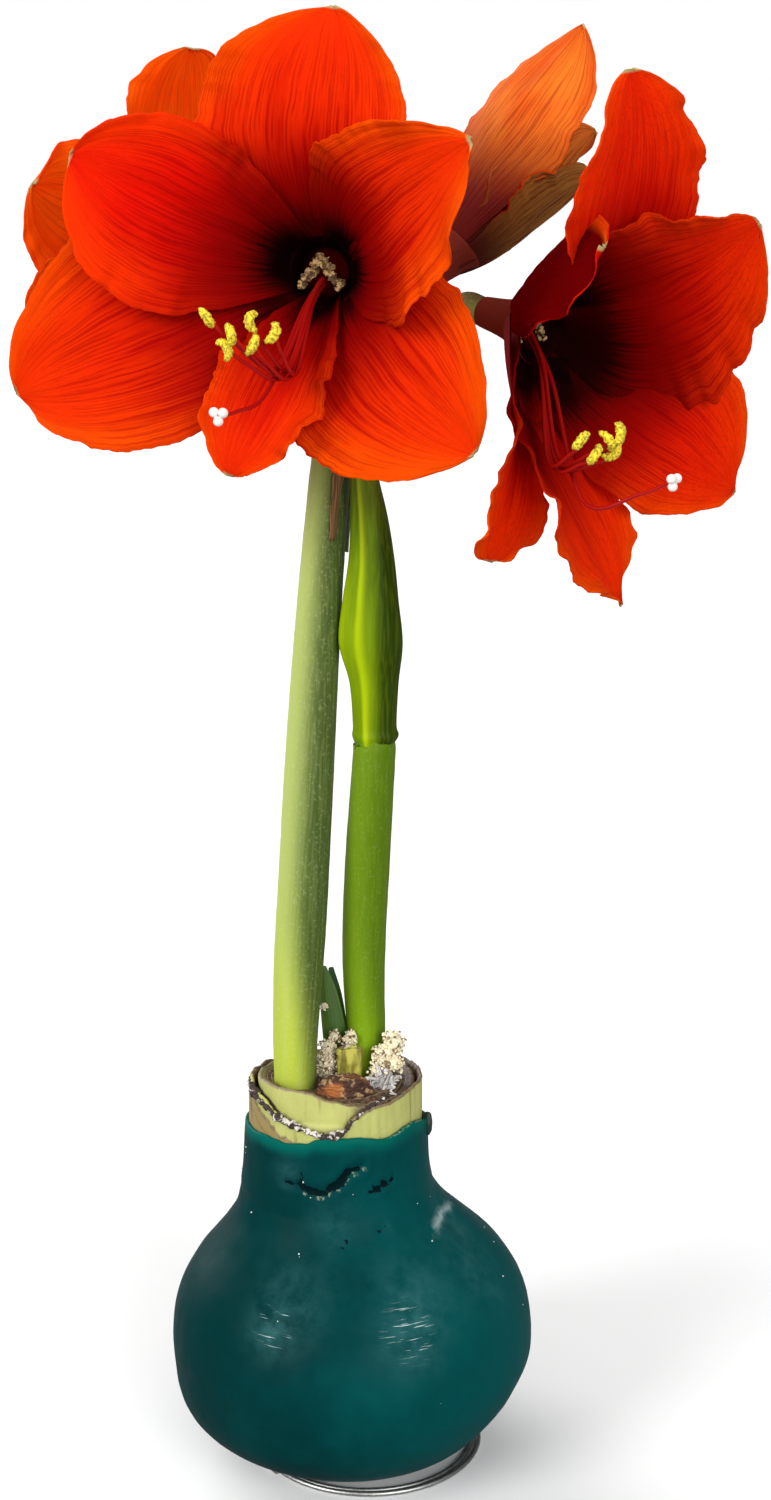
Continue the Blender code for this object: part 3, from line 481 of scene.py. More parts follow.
STREAKS = streak_group()
scale_finish, tree, shader = new_finish("bulb_scale", 0.5, Specular_IOR_Level=0.35)
where = own_place(tree)
streaks = place_group(tree, STREAKS, Vector=where, Across=420.0, Along=45.0)
broad = place_group(tree, STREAKS, Vector=where, Across=130.0, Along=60.0)
spots = mottle(tree, where, 900.0, 3.0)
colour = mix_colour(tree, broad["Height"], SCALE_GREEN, SCALE_PALE)
colour = mix_colour(tree, mark_of(tree, "beige"), colour, SCALE_BEIGE)
brown_streaks = times(tree, soft_step(tree, streaks["Height"], 0.60, 0.76), 0.55)
colour = mix_colour(tree, brown_streaks, colour, STREAK_BROWN)
dried = mix_colour(tree, soft_step(tree, spots, 0.35, 0.7), CUT_BROWN, CUT_LIGHT_BROWN)
from_middle = vector_node(tree, "ADD", where, (-NECK_OFFSET, 0.0, 0.0))[0]
out = vector_node(tree, "LENGTH", vector_node(tree, "MULTIPLY", from_middle, (1, 1, 0))[0])[1]
wander = times(tree, broad["Height"], 0.0024)
layer = math_node(tree, "PINGPONG", math_node(tree, "ADD", out, wander), LAYER_GAP)
cut_face = soft_step(tree, out, 0.0212, 0.0202)
layer = times(tree, soft_step(tree, layer, 0.00052, LAYER_GAP), cut_face)
dried = mix_colour(tree, times(tree, layer, 0.8), dried, LAYER_CREAM)
colour = mix_colour(tree, mark_of(tree, "dry"), colour, dried)
colour = mix_colour(tree, mark_of(tree, "cream"), colour, CUT_CREAM)
set_colour(tree, shader, colour)
add_relief(tree, shader, spots, 0.35, 0.0004)
bulb.data.materials.append(scale_finish)
seat(bulb, "bulb_scale", "bulb")

# Crust on the torn edge
# Where the outer scale tore, its sap dried to a rough brown bead with white flecks. It runs down the left
# side, along the low front edge, and up over the inner scale on the right.
CRUST_LINE = (  # turn in degrees, radius from the neck's middle, height
    (-178, 0.0252, 0.1174),
    (-160, 0.0254, 0.1165),
    (-145, 0.0255, 0.1149),
    (-132, 0.0256, 0.1130),
    (-118, 0.0256, 0.1114),
    (-105, 0.0256, 0.1100),
    (-94, 0.0256, 0.1090),
    (-85, 0.0255, 0.1103),
    (-78, 0.0250, 0.1135),
    (-71, 0.0246, 0.1158),
    (-63, 0.0241, 0.1172),
    (-54, 0.0234, 0.1182),
    (-46, 0.0222, 0.1188),
)
CRUST_RADIUS = 0.00090
CRUST_SIDES = 20
CRUST_SPACING = 0.00022
TURN_SCALE = 1000  # brings the turns near the radii and heights in size, for even spacing
CRUST_DARK = (0.042, 0.026, 0.022)
CRUST_LIGHT = (0.66, 0.62, 0.56)


def rod(name, run, sides):
    """A round bar along a run of (x, y, z, radius), with each point's share along it kept as a mark."""
    curve = bpy.data.curves.new(name, "CURVE")
    curve.dimensions = "3D"
    curve.bevel_depth = 1.0
    curve.bevel_resolution = sides // 2 - 2
    curve.use_fill_caps = True
    spline = curve.splines.new("POLY")
    spline.points.add(len(run) - 1)
    for point, (x, y, z, radius) in zip(spline.points, run):
        point.co = (x, y, z, 1.0)
        point.radius = radius
    made = bpy.data.objects.new(name, curve)
    bpy.context.scene.collection.objects.link(made)
    pick_only(made)
    bpy.ops.object.convert(target="MESH")
    made = bpy.context.object
    made.data.shade_smooth()
    around = len(made.data.vertices) // len(run)
    mark(made, "along", [index // around / (len(run) - 1) for index in range(len(made.data.vertices))])
    return made


def joined(name, pieces):
    """Several objects made one."""
    bpy.ops.object.select_all(action="DESELECT")
    for piece in pieces:
        piece.select_set(True)
    bpy.context.view_layer.objects.active = pieces[0]
    bpy.ops.object.join()
    pieces[0].name = name
    return pieces[0]


def push_out(thing, amount):
    """Moves each point along its normal by what amount(place) says."""
    normals = [point.normal.copy() for point in thing.data.vertices]
    for point, normal in zip(thing.data.vertices, normals):
        point.co += amount(point.co) * normal


def crust_height(place):
    coarse = rough(place, 0.0016, 1)
    fine = rough(place, 0.0006, 2)
    return 0.00045 * coarse + 0.00028 * fine


run = []
crust_line = smooth_run([(turn / TURN_SCALE, radius, height) for turn, radius, height in CRUST_LINE], 8)
for turn, radius, height in even_run(crust_line, CRUST_SPACING / 4):
    angle = math.radians(turn * TURN_SCALE)
    thick = CRUST_RADIUS * (1 + 0.30 * math.sin(turn * 190) + 0.2 * math.sin(turn * 470))
    thick *= (1 + 0.25 * math.sin(turn * 1150)) * (1 - 0.55 * ease(-0.085, -0.072, turn))
    run.append((NECK_OFFSET + radius * math.cos(angle), radius * math.sin(angle), height, thick))
crust = rod("torn_edge_crust", run, CRUST_SIDES)
push_out(crust, crust_height)
pale_marks = []
for point in crust.data.vertices:
    turn = math.degrees(math.atan2(point.co.y, point.co.x - NECK_OFFSET))
    along_front = ease(-134, -122, turn) * (1 - ease(-92, -80, turn))
    pale_marks.append(along_front * ease(-0.1, 0.5, point.normal.z - 0.4 * point.normal.y))
mark(crust, "pale", pale_marks)
crust_finish, tree, shader = new_finish("dried_crust", 0.85)


def crumb_group():
    """Dried flesh: pale flecks over dark hollows, as a colour and a height."""
    inputs = {"Dark": "Color", "Light": "Color", "Grain": "Float", "Share": "Float"}
    group, given, sent = new_group("dried flecks", inputs, {"Color": "Color", "Height": "Float"})
    flecks = mottle(group, own_place(group), given["Grain"], 5.0)
    mask = soft_step(group, flecks, given["Share"], math_node(group, "ADD", given["Share"], 0.10))
    group.links.new(mix_colour(group, mask, given["Dark"], given["Light"]), sent["Color"])
    group.links.new(flecks, sent["Height"])
    return group


CRUMBS = crumb_group()
share = math_node(tree, "SUBTRACT", 0.56, times(tree, mark_of(tree, "pale"), 0.16))
flecks = place_group(tree, CRUMBS, Dark=CRUST_DARK, Light=CRUST_LIGHT, Grain=650.0, Share=share)
set_colour(tree, shader, flecks["Color"])
add_relief(tree, shader, flecks["Height"], 0.6, 0.0005)
crust.data.materials.append(crust_finish)
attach(crust, "root")

# The wax coat
# The bulb was dipped in deep teal candle wax, which set as a skin about 2 mm thick. It is thin and
# brighter at its uneven rim, cracked under the neck, dented on the shoulder, and scuffed where it was held.
# Its left side is painted darker and its right lighter, as painted shade and light. Its frosted patches and
# the pale chips on the crack's lower lip are partly painted highlight, and the shoulder crease has a
# painted highlight.
WAX_RIM = 0.1023
WAX_EDGE = (  # turn in degrees and height of the wax's edge
    (-180, 0.1045),
    (-159, 0.1049),
    (-139, 0.1056),
    (-124, 0.1052),
    (-109, 0.1061),
    (-100, 0.1079),
    (-78, 0.1083),
    (-56, 0.1068),
    (-49, 0.1073),
    (-38, 0.1084),
    (-28, 0.1081),
    (-10, 0.1058),
    (20, 0.1035),
    (90, 0.1023),
    (150, 0.1030),
    (180, 0.1045),
)
WAX_STEPS = 288
WAX_SPACING = 0.00095
CRACK = (  # turn in degrees and height along the crack
    (-125, 0.0934),
    (-113, 0.0926),
    (-105, 0.0914),
    (-98, 0.0911),
    (-87, 0.0930),
    (-80, 0.0954),
    (-72, 0.0967),
)
SHORT_CRACKS = (
    ((-69, 0.0905), (-60, 0.0917), (-52, 0.0930)),
    ((-66, 0.0917), (-58, 0.0928)),
    ((-113, 0.0926), (-110, 0.0940), (-111, 0.0952)),
)
PITS = ((-66, 0.0808, 0.0015), (-86, 0.0789, 0.0014), (-89, 0.0776, 0.0012), (-62, 0.0817, 0.0012))
CREASE = ((-38, 0.0764), (-26, 0.0775), (-13, 0.0782), (2, 0.0767))
DENTS = (  # turn, height, width, depth
    (-17, 0.0762, 0.0065, 0.0011),
    (-24, 0.0725, 0.0040, -0.0006),
    (-90, 0.0835, 0.0140, 0.0006),
    (-112, 0.0850, 0.0080, 0.0005),
    (-60, 0.0990, 0.0060, -0.0004),
)
# Lighter frosted patches: partly real frosting of the wax and partly painted highlight of soft lamps.
FROST_AND_HIGHLIGHT = (  # turn, height, width, strength
    (-111, 0.0640, 0.0100, 0.35),
    (-118, 0.0580, 0.0070, 0.45),
    (-62, 0.0646, 0.0100, 0.45),
    (-70, 0.0560, 0.0080, 0.55),
    (-93, 0.0840, 0.0060, 0.35),
    (-120, 0.0960, 0.0040, 0.35),
    (-14, 0.0755, 0.0060, 0.60),
    (-28, 0.0650, 0.0100, 0.40),
    (70, 0.0600, 0.0120, 0.45),
    (150, 0.0520, 0.0120, 0.40),
)
SCRATCHED = ((-117, 0.0588, 0.0060), (-70, 0.0575, 0.0075), (120, 0.0560, 0.0080))
WAX_TEAL = (0.0010, 0.066, 0.068)
WAX_SHADED_LEFT = (0.0004, 0.027, 0.028)
WAX_RIM_GREEN = (0.0006, 0.100, 0.080)
WAX_FROST_HIGHLIGHT = (0.034, 0.135, 0.138)
WAX_CREASE_HIGHLIGHT = (0.34, 0.46, 0.46)
WAX_SCRATCH = (0.50, 0.64, 0.64)
WAX_CHIP_AND_HIGHLIGHT = (0.22, 0.27, 0.18)
WAX_CRACK = (0.001, 0.009, 0.011)
WAX_RISE_FROM = 0.086  # the height above which the coat's points follow its uneven edge
CRACKED = (0.085, 0.1, -135, -45)  # from height to height and from turn to turn
CREASED = (0.070, 0.085, -60, 25)
RING_DENT_HEIGHT = 0.0842
TORN_RIM_TURN = -36
SKIN_DEPTH = 0.0012  # points less deep than this are on the coat's outside


def rim_height(turn):
    """Height of the wax's edge, a little uneven."""
    return along_line(WAX_EDGE, turn) + 0.0003 * rough((turn / 7, 0, 0), 1.0, 9)


def rim_rise(turn, height):
    """How far a point of the coat is lifted, so that its top follows the uneven edge."""
    return (rim_height(turn) - WAX_RIM) * ease(WAX_RISE_FROM, WAX_RIM, height)


def outline_radius(height):
    for (low_radius, low), (high_radius, high) in zip(OUTLINE, OUTLINE[1:]):
        if low <= height <= high:
            return low_radius + (high_radius - low_radius) * (height - low) / (high - low)
    return OUTLINE[-1][0]


def surface_distance(turn, height, other_turn, other_height):
    """Distance over the wax between two places on it."""
    radius = outline_radius(height)
    return math.hypot(math.radians(turn - other_turn) * radius, height - other_height)


def line_distance(turn, height, line):
    """Distance over the wax to a line on it, and the share of the line at the nearest point."""
    radius = outline_radius(height)
    here = Vector((math.radians(turn) * radius, height))
    best = (1.0, 0.0)
    for index, (start, end) in enumerate(zip(line, line[1:])):
        a = Vector((math.radians(start[0]) * radius, start[1]))
        b = Vector((math.radians(end[0]) * radius, end[1]))
        share = min(max((here - a).dot(b - a) / (b - a).length_squared, 0.0), 1.0)
        away = (here - a.lerp(b, share)).length
        if away < best[0]:
            best = (away, (index + share) / (len(line) - 1))
    return best


def within(area, height, turn):
    low, high, start, end = area
    return low < height < high and start < turn < end


outside = even_run(smooth_run(OUTLINE, 8), WAX_SPACING)
thin_rim = [(0.0266, WAX_RIM + 0.0003), (0.0262, WAX_RIM + 0.0005), (0.0257, WAX_RIM + 0.0004)]
wall = [(radius, height) for radius, height in inset_outline(WAX_WALL)[::-1][1:-1]]
wax_profile = [(0.0, 0.0)] + outside + thin_rim + [(0.0256, WAX_RIM - 0.004)] + wall + [(0.0, WAX_WALL)]
wax = turned("dipped_wax", wax_profile, WAX_STEPS)
marks = []
for point in wax.data.vertices:
    place = point.co.copy()
    radius = math.hypot(place.x, place.y)
    turn = math.degrees(math.atan2(place.y, place.x))
    height = place.z
    crack = frost_and_highlight = scratch = chip_and_highlight = fold = 0.0
    out = radius > outline_radius(height) - SKIN_DEPTH
    if out and height > 0.004:
        depth = 0.0
        if within(CRACKED, height, turn):
            ragged = 0.0007 * rough(place, 0.0022, 4) + 0.0003 * rough(place, 0.0009, 5)
            away, share = line_distance(turn, height + ragged, CRACK)
            open_width = 0.0003 + 0.0006 * math.sin(math.pi * share) + 0.0005 * bump(share - 0.72, 0.12)
            crack = bump(away, open_width)
            under = ease(0.0, 0.0006, along_line(CRACK, turn) - height - ragged)
            chip_and_highlight = bump(away - 0.0009, 0.0004) * under * ease(0.1, 0.3, share)
            depth += 0.0011 * crack - 0.00045 * bump(away - 0.0019, 0.0007)
            for line in SHORT_CRACKS:
                away, share = line_distance(turn, height + ragged, line)
                small = bump(away, 0.0005)
                crack = max(crack, 0.85 * small)
                depth += 0.0005 * small - 0.00025 * bump(away - 0.0011, 0.0005)
        for pit_turn, pit_height, width in PITS:
            pit = bump(surface_distance(turn, height, pit_turn, pit_height), width)
            crack = max(crack, 0.62 * pit)
            depth += 0.0005 * pit
        for dent_turn, dent_height, width, deep in DENTS:
            depth += deep * bump(surface_distance(turn, height, dent_turn, dent_height), width)
        for patch_turn, patch_height, width, strength in FROST_AND_HIGHLIGHT:
            away = surface_distance(turn, height, patch_turn, patch_height)
            frost_and_highlight += strength * bump(away, width)
        for scratch_turn, scratch_height, width in SCRATCHED:
            away = surface_distance(turn, height, scratch_turn, scratch_height)
            scratch = max(scratch, bump(away, width))
        if within(CREASED, height, turn):
            away, share = line_distance(turn, height + 0.0004 * rough(place, 0.004, 8), CREASE)
            fold = bump(away, 0.0009) * math.sin(math.pi * (0.1 + 0.8 * share))
            depth -= 0.0007 * fold
        waves = 0.00030 * rough(place, 0.016, 11) + 0.00014 * rough(place, 0.006, 12)
        ring_dent = 0.00035 * bump(height - RING_DENT_HEIGHT, 0.0016)
        ring_dent *= 0.6 + 0.4 * math.sin(math.radians(turn) * 2)
        radius += waves * ease(0.004, 0.02, height) - depth - ring_dent
    rise = rim_rise(turn, height)
    place = round_place(radius, turn, height, rise)
    point.co = place
    rim = ease(0.0985, 0.1018, height + 0.0006 * rough(place, 0.006, 6))
    chip_and_highlight = max(chip_and_highlight, ease(WAX_RIM - 0.0002, WAX_RIM + 0.0003, height) * bump(turn - TORN_RIM_TURN, 20))
    frost_and_highlight = min(frost_and_highlight, 1.0)
    marks.append(
        {"chip_and_highlight": chip_and_highlight, "fold": fold, "rim": rim, "crack": crack, "frost_and_highlight": frost_and_highlight, "scratched": scratch}
    )
mark_all(wax, marks)

wax_finish, tree, shader = new_finish("teal_wax", 0.4, Specular_IOR_Level=0.02)
where = own_place(tree)
cloud = mottle(tree, where, 38.0, 5.0, 0.6)
smear = mottle(tree, where, 170.0, 6.0, 0.65)
# Painted shade and light: the coat runs from darker on the left to lighter on the right, mottled by a
# cloud.
lit_side_and_cloud = math_node(tree, "MULTIPLY_ADD", axes_of(tree, where)[0], 11.0, 0.05)
lit_side_and_cloud = math_node(tree, "ADD", lit_side_and_cloud, cloud)
colour = mix_colour(tree, soft_step(tree, lit_side_and_cloud, 0.15, 1.05), WAX_SHADED_LEFT, WAX_TEAL)
# The frosted patches are lightened, partly as real frosting and partly as painted highlight.
frosted_and_lit = times(tree, mark_of(tree, "frost_and_highlight"), soft_step(tree, smear, 0.25, 0.75))
colour = mix_colour(tree, frosted_and_lit, colour, WAX_FROST_HIGHLIGHT)
# Painted highlight: a pale streak along the crease on the right shoulder, broken by the smear noise.
crease_highlight = times(tree, mark_of(tree, "fold"), soft_step(tree, smear, 0.40, 0.62))
colour = mix_colour(tree, times(tree, crease_highlight, 0.9), colour, WAX_CREASE_HIGHLIGHT)
colour = mix_colour(tree, mark_of(tree, "rim"), colour, WAX_RIM_GREEN)
inputs = {"Vector": where, "Rotation": (0.0, 0.45, 0.2), "Scale": (130, 130, 3200)}
lines = mottle(tree, add_node(tree, "ShaderNodeMapping", inputs).outputs[0], 1.0, 3.0)
scratched = soft_step(tree, mark_of(tree, "scratched"), 0.2, 0.8)
scratches = times(tree, soft_step(tree, lines, 0.62, 0.68), scratched)
colour = mix_colour(tree, times(tree, scratches, 0.85), colour, WAX_SCRATCH)
ragged = mottle(tree, where, 900.0, 4.0)
# Pale chips under the crack and at the torn rim; along the crack's lower lip they are partly painted
# highlight.
lip = times(tree, soft_step(tree, mark_of(tree, "chip_and_highlight"), 0.3, 0.7), soft_step(tree, ragged, 0.44, 0.56))
colour = mix_colour(tree, times(tree, lip, 0.8), colour, WAX_CHIP_AND_HIGHLIGHT)
torn = math_node(tree, "ADD", mark_of(tree, "crack"), times(tree, ragged, 0.8))
open_crack = soft_step(tree, torn, 0.86, 1.0)
colour = mix_colour(tree, open_crack, colour, WAX_CRACK)
set_colour(tree, shader, colour)
give(tree, shader.inputs["Roughness"], math_node(tree, "MULTIPLY_ADD", smear, 0.25, 0.27))
height = math_node(tree, "ADD", smear, times(tree, scratches, -0.6))
height = math_node(tree, "ADD", height, times(tree, open_crack, -1.5))
add_relief(tree, shader, height, 0.22, 0.0006)
wax.data.materials.append(wax_finish)
seat(wax, "wax", "wax_coat")

# Crumbs of wax
# Small pale specks of dust and wax cling to the coat, and a torn flap of the wax stands off the right side
# of its rim. They are what was left over when the bulb was dipped and handled.
SPECK_COUNT = 70
SPECK_RADII = (0.00012, 0.00030)
FLAP_TURN = -8.0
FLAP_SIZE = (0.0012, 0.0014, 0.0068)
DUST_GREY = (0.40, 0.55, 0.52)
DUST_PALE = (0.80, 0.85, 0.80)
FLAP_DARK = (0.004, 0.012, 0.010)
FLAP_GREEN = (0.010, 0.040, 0.030)


def round_grain(subdivisions):
    """One grain of radius 1, from which the crumbs are copied."""
    bpy.ops.object.select_all(action="DESELECT")
    bpy.ops.mesh.primitive_ico_sphere_add(subdivisions=subdivisions, radius=1.0)
    return bpy.context.object


def copy_grain(grain, place, size, uneven, grit):
    """A copy of the grain at its place and size, made uneven at that grain size."""
    crumb = grain.copy()
    crumb.data = grain.data.copy()
    bpy.context.scene.collection.objects.link(crumb)
    for point in crumb.data.vertices:
        out = point.co.copy()
        point.co = Vector(place) + size * (1 + uneven * rough(Vector(place) + size * out, grit, 7)) * out
    return crumb


def flecked_finish(name, roughness, scale, dark, light):
    """A material mottled between two colours, with its grain measured on the piece's own box."""
    made, tree, shader = new_finish(name, roughness)
    fleck = add_node(tree, "ShaderNodeTexNoise", {"Scale": scale}).outputs["Fac"]
    set_colour(tree, shader, mix_colour(tree, fleck, dark, light))
    return made


chance = random.Random(11)
grain = round_grain(1)
specks = []
for number in range(SPECK_COUNT):
    turn = chance.uniform(-180, 180)
    height = chance.uniform(0.012, 0.098)
    place = round_place(outline_radius(height), turn, height, rim_rise(turn, height))
    specks.append(copy_grain(grain, place, chance.uniform(*SPECK_RADII), 0.5, 0.0003))
bpy.data.objects.remove(grain)
dust = joined("wax_specks", specks)
dust.data.materials.append(flecked_finish("pale_dust", 0.8, 800.0, DUST_GREY, DUST_PALE))
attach(dust, "root")

bpy.ops.object.select_all(action="DESELECT")
flap_angle = math.radians(FLAP_TURN)
flap_place = (
    NECK_OFFSET + (OUTLINE[-1][0] + 0.0004) * math.cos(flap_angle),
    OUTLINE[-1][0] * math.sin(flap_angle),
    rim_height(FLAP_TURN) - 0.0016,
)
bpy.ops.mesh.primitive_cube_add(size=1.0, location=flap_place, scale=FLAP_SIZE)
flap = bpy.context.object
flap.name = "wax_flap"
bpy.ops.object.transform_apply(location=True, rotation=True, scale=True)
bpy.ops.object.mode_set(mode="EDIT")
bpy.ops.mesh.select_all(action="SELECT")
bpy.ops.mesh.subdivide(number_cuts=7, smoothness=0.6)
bpy.ops.object.mode_set(mode="OBJECT")
push_out(flap, lambda place: 0.0004 * rough(place, 0.0012, 8))
flap.data.shade_smooth()
flap.data.materials.append(flecked_finish("dark_wax", 0.5, 500.0, FLAP_DARK, FLAP_GREEN))
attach(flap, "root")

# The wire ring
# One length of 1.5 mm sprung steel wire, turned up into the bulb at one end and wound in two turns on the
# table, so that the round bulb can't tip.
WIRE = 0.0015
RING_RADIUS = 0.0342
RING_CENTRE_X = 0.0042
RING_PITCH = 0.0022
RING_TURNS = 2.0
RING_START_DEG = 205.0
PIN_RADIUS = 0.0245
PIN_DEPTH = 0.009
PIN_BEND = 0.0016
RING_ENTRY_DEG = 14.0
RING_CROSSES = (0.40, 0.62)
RING_STEPS = 60
WIRE_SIDES = 16
STEEL_DARK = (0.42, 0.42, 0.41)
STEEL_BRIGHT = (0.72, 0.72, 0.70)


def wire_route():
    start = math.radians(RING_START_DEG)
    x = PIN_RADIUS * math.cos(start)
    y = PIN_RADIUS * math.sin(start)
    rest = WIRE / 2
    route = [(x, y, rest + PIN_DEPTH), (x, y, rest + PIN_DEPTH / 2)]
    for out, up in ((0.0, 1.0), (0.3, 0.3), (1.0, 0.0)):
        reach = out * PIN_BEND
        route.append((x + reach * math.cos(start), y + reach * math.sin(start), rest + up * PIN_BEND))
    inner = RING_RADIUS - RING_PITCH
    entry = start + math.radians(RING_ENTRY_DEG)
    lead = Vector((RING_CENTRE_X + inner * math.cos(entry), inner * math.sin(entry), rest))
    foot = Vector(route[-1])
    route.append(tuple(foot.lerp(lead, 0.45)))
    route.append(tuple(foot.lerp(lead, 0.80) + Vector((0.0004, -0.0006, 0.0))))
    for step in range(1, int(RING_STEPS * RING_TURNS) + 1):
        share = step / (RING_STEPS * RING_TURNS)
        turn = entry + 2 * math.pi * RING_TURNS * share
        radius = inner + RING_PITCH * ease(*RING_CROSSES, share)
        route.append((RING_CENTRE_X + radius * math.cos(turn), radius * math.sin(turn), rest))
    return route


wire = rod("sprung_wire", [(*point, WIRE / 2) for point in wire_route()], WIRE_SIDES)
wire_finish, tree, shader = new_finish("drawn_steel", 0.24, Metallic=1.0)
drawn = mottle(tree, own_place(tree), 1200.0)
set_colour(tree, shader, mix_colour(tree, drawn, STEEL_DARK, STEEL_BRIGHT))
give(tree, shader.inputs["Roughness"], soft_step(tree, drawn, -1.2, 2.6))
wire.data.materials.append(wire_finish)
seat(wire, "steel_wire", "wire_ring")

# The flower stem, with its stalks
# A hollow fleshy stem, pale green under a whitish bloom and finely striped. Four stalks leave its top, each
# swelling to the three-sided ovary under its bloom.
STEM_SINK = 0.0125
STEM_FOOT = 0.1133 - STEM_SINK
FLOWER_STEM = (
    (-0.0160, -0.0030, STEM_FOOT, 0.0058),
    (-0.0164, -0.0030, 0.1265, 0.0064),
    (-0.0152, -0.0030, 0.1525, 0.0072),
    (-0.0138, -0.0026, 0.1745, 0.0073),
    (-0.0112, -0.0010, 0.2195, 0.0070),
    (-0.0085, 0.0022, 0.2595, 0.0063),
    (-0.0056, 0.0062, 0.2925, 0.0058),
    (-0.0022, 0.0105, 0.3205, 0.0056),
    (-0.0005, 0.0120, 0.3325, 0.0062),
)
UMBEL = Vector((-0.0005, 0.0120, 0.3335))
PEDICEL_RADIUS = 0.0028
PEDICEL_SINK = 0.004
OVARY_RADIUS = 0.0043
OVARY_LENGTH = 0.011
TUBE_LENGTH = 0.024
STEM_SIDES = 48
STALK_SIDES = 24
UMBEL_FLUSH = (0.130, 0.050, 0.024)
WAXY_DOTS = (0.55, 0.64, 0.34)
FRONT_BLOOM = {"throat": (-0.0080, -0.0300, 0.3512), "facing": (-0.35, -0.93, 0.06)}
RIGHT_BLOOM = {"throat": (0.0543, -0.0160, 0.3349), "facing": (0.72, -0.66, -0.18)}
LEFT_BLOOM = {"throat": (-0.0400, 0.0400, 0.3495), "facing": (-0.84, 0.50, 0.12)}
OPENING_BUD = {"throat": (0.0317, 0.0320, 0.3590), "facing": (0.66, 0.30, 0.69)}
STALK_ROUTES = (
    (FRONT_BLOOM, ((0.0035, 0.0105, 0.3415),)),
    (RIGHT_BLOOM, ((0.0080, 0.0130, 0.3430), (0.0190, 0.0110, 0.3450))),
    (LEFT_BLOOM, ((-0.0090, 0.0160, 0.3415),)),
    (OPENING_BUD, ((0.0030, 0.0180, 0.3395), (0.0070, 0.0205, 0.3400))),
)


def bloom_frame(bloom):
    """Matrix from a bloom's own frame, x right, y up and z out of its throat, to the world's."""
    out = Vector(bloom["facing"]).normalized()
    right = Vector((0, 0, 1)).cross(out).normalized()
    up = out.cross(right)
    return Matrix.Translation(bloom["throat"]) @ Matrix((right, up, out)).transposed().to_4x4()


parts = [rod("flowering_stem", smooth_run(FLOWER_STEM, 10), STEM_SIDES)]
for bloom, route in STALK_ROUTES:
    frame_of = bloom_frame(bloom)
    out = (frame_of.to_3x3() @ Vector((0, 0, 1))).normalized()
    base = frame_of @ Vector((0, 0, -TUBE_LENGTH - GAP))
    back = base - OVARY_LENGTH * out
    points = [(*(UMBEL - Vector((0, 0, PEDICEL_SINK))), PEDICEL_RADIUS)]
    points += [(*point, PEDICEL_RADIUS) for point in route]
    points.append((*back, PEDICEL_RADIUS))
    points.append((*back.lerp(base, 0.50), OVARY_RADIUS))
    points.append((*base, OVARY_RADIUS - 0.0004))
    parts.append(rod("stalk", smooth_run(points, 8), STALK_SIDES))
flower_stem = joined("flowering_stem", parts)


def mark_right_side(thing):
    """From -1 on the stem's left side to 1 on its right, where its material paints shade."""
    mark(thing, "right_side", [point.normal.x for point in thing.data.vertices])


push_out(flower_stem, lambda place: 0.00010 * rough(place, 0.004, 3))


def stem_finish(name, low, high, pale, deep, lean, waxy):
    """Striped green flesh: low and high colour its foot and top, pale its stripes, deep the painted shade
    on its right side.

    Lean is how far the stripes turn with the stem, and waxy the share of its whitish dots. The umbel and
    its stalks are flushed with brown-red.
    """
    made, tree, shader = new_finish(name, 0.46, Specular_IOR_Level=0.07)
    where = own_place(tree)
    leaning = {"Vector": where, "Rotation": (0.0, lean, 0.0)}
    upright = add_node(tree, "ShaderNodeMapping", leaning).outputs[0]
    fine = place_group(tree, STREAKS, Vector=upright, Across=1500.0, Along=26.0)
    broad = place_group(tree, STREAKS, Vector=upright, Across=330.0, Along=14.0)
    height = axes_of(tree, where)[2]
    colour = mix_colour(tree, soft_step(tree, height, 0.112, 0.200), low, high)
    colour = mix_colour(tree, times(tree, broad["Mask"], 0.25), colour, pale)
    # Painted shade: the right side is darkened towards deep, less near the foot, as if lit from the left.
    shaded = math_node(tree, "SUBTRACT", mark_of(tree, "right_side"), soft_step(tree, height, 0.175, 0.110))
    shaded = times(tree, soft_step(tree, shaded, -1.0, 0.35), 0.95)
    colour = mix_colour(tree, shaded, colour, deep)
    colour = mix_colour(tree, times(tree, fine["Mask"], 0.12), colour, pale)
    flushed = times(tree, soft_step(tree, height, 0.338, 0.346), 0.85)
    colour = mix_colour(tree, flushed, colour, UMBEL_FLUSH)
    dots = times(tree, soft_step(tree, mottle(tree, where, 1100.0), 0.56, 0.68), waxy)
    colour = mix_colour(tree, dots, colour, WAXY_DOTS)
    set_colour(tree, shader, colour)
    add_relief(tree, shader, fine["Height"], 0.25, 0.0003)
    return made


mark_right_side(flower_stem)
flower_stem.data.materials.append(
    stem_finish(
        "pale_stem", low=(0.41, 0.49, 0.040), high=(0.42, 0.50, 0.140), pale=(0.44, 0.52, 0.15),
        deep=(0.045, 0.080, 0.014), lean=-0.068, waxy=0.12,
    )
)
seat(flower_stem, "stem", "flower_stem")

# The second stem
# A younger, brighter green stem that carries the closed buds. It is fleshy and hollow like the first one
# and grows from the same bulb, so it stands in its own hole in the cut neck.
BUD_STEM = (
    (0.0052, 0.0075, STEM_FOOT, 0.0052),
    (0.0044, 0.0070, 0.1265, 0.0056),
    (0.0036, 0.0060, 0.1525, 0.0063),
    (0.0048, 0.0030, 0.1825, 0.0065),
    (0.0067, -0.0008, 0.2140, 0.0061),
    (0.0067, -0.0008, 0.2185, 0.0060),
)
bud_stem = rod("budding_stem", smooth_run(BUD_STEM, 10), STEM_SIDES)
push_out(bud_stem, lambda place: 0.00010 * rough(place, 0.004, 4))
mark_right_side(bud_stem)
bud_stem.data.materials.append(
    stem_finish(
        "bright_stem", low=(0.185, 0.330, 0.004), high=(0.150, 0.260, 0.009), pale=(0.24, 0.35, 0.026),
        deep=(0.085, 0.165, 0.004), lean=-0.01, waxy=0.05,
    )
)
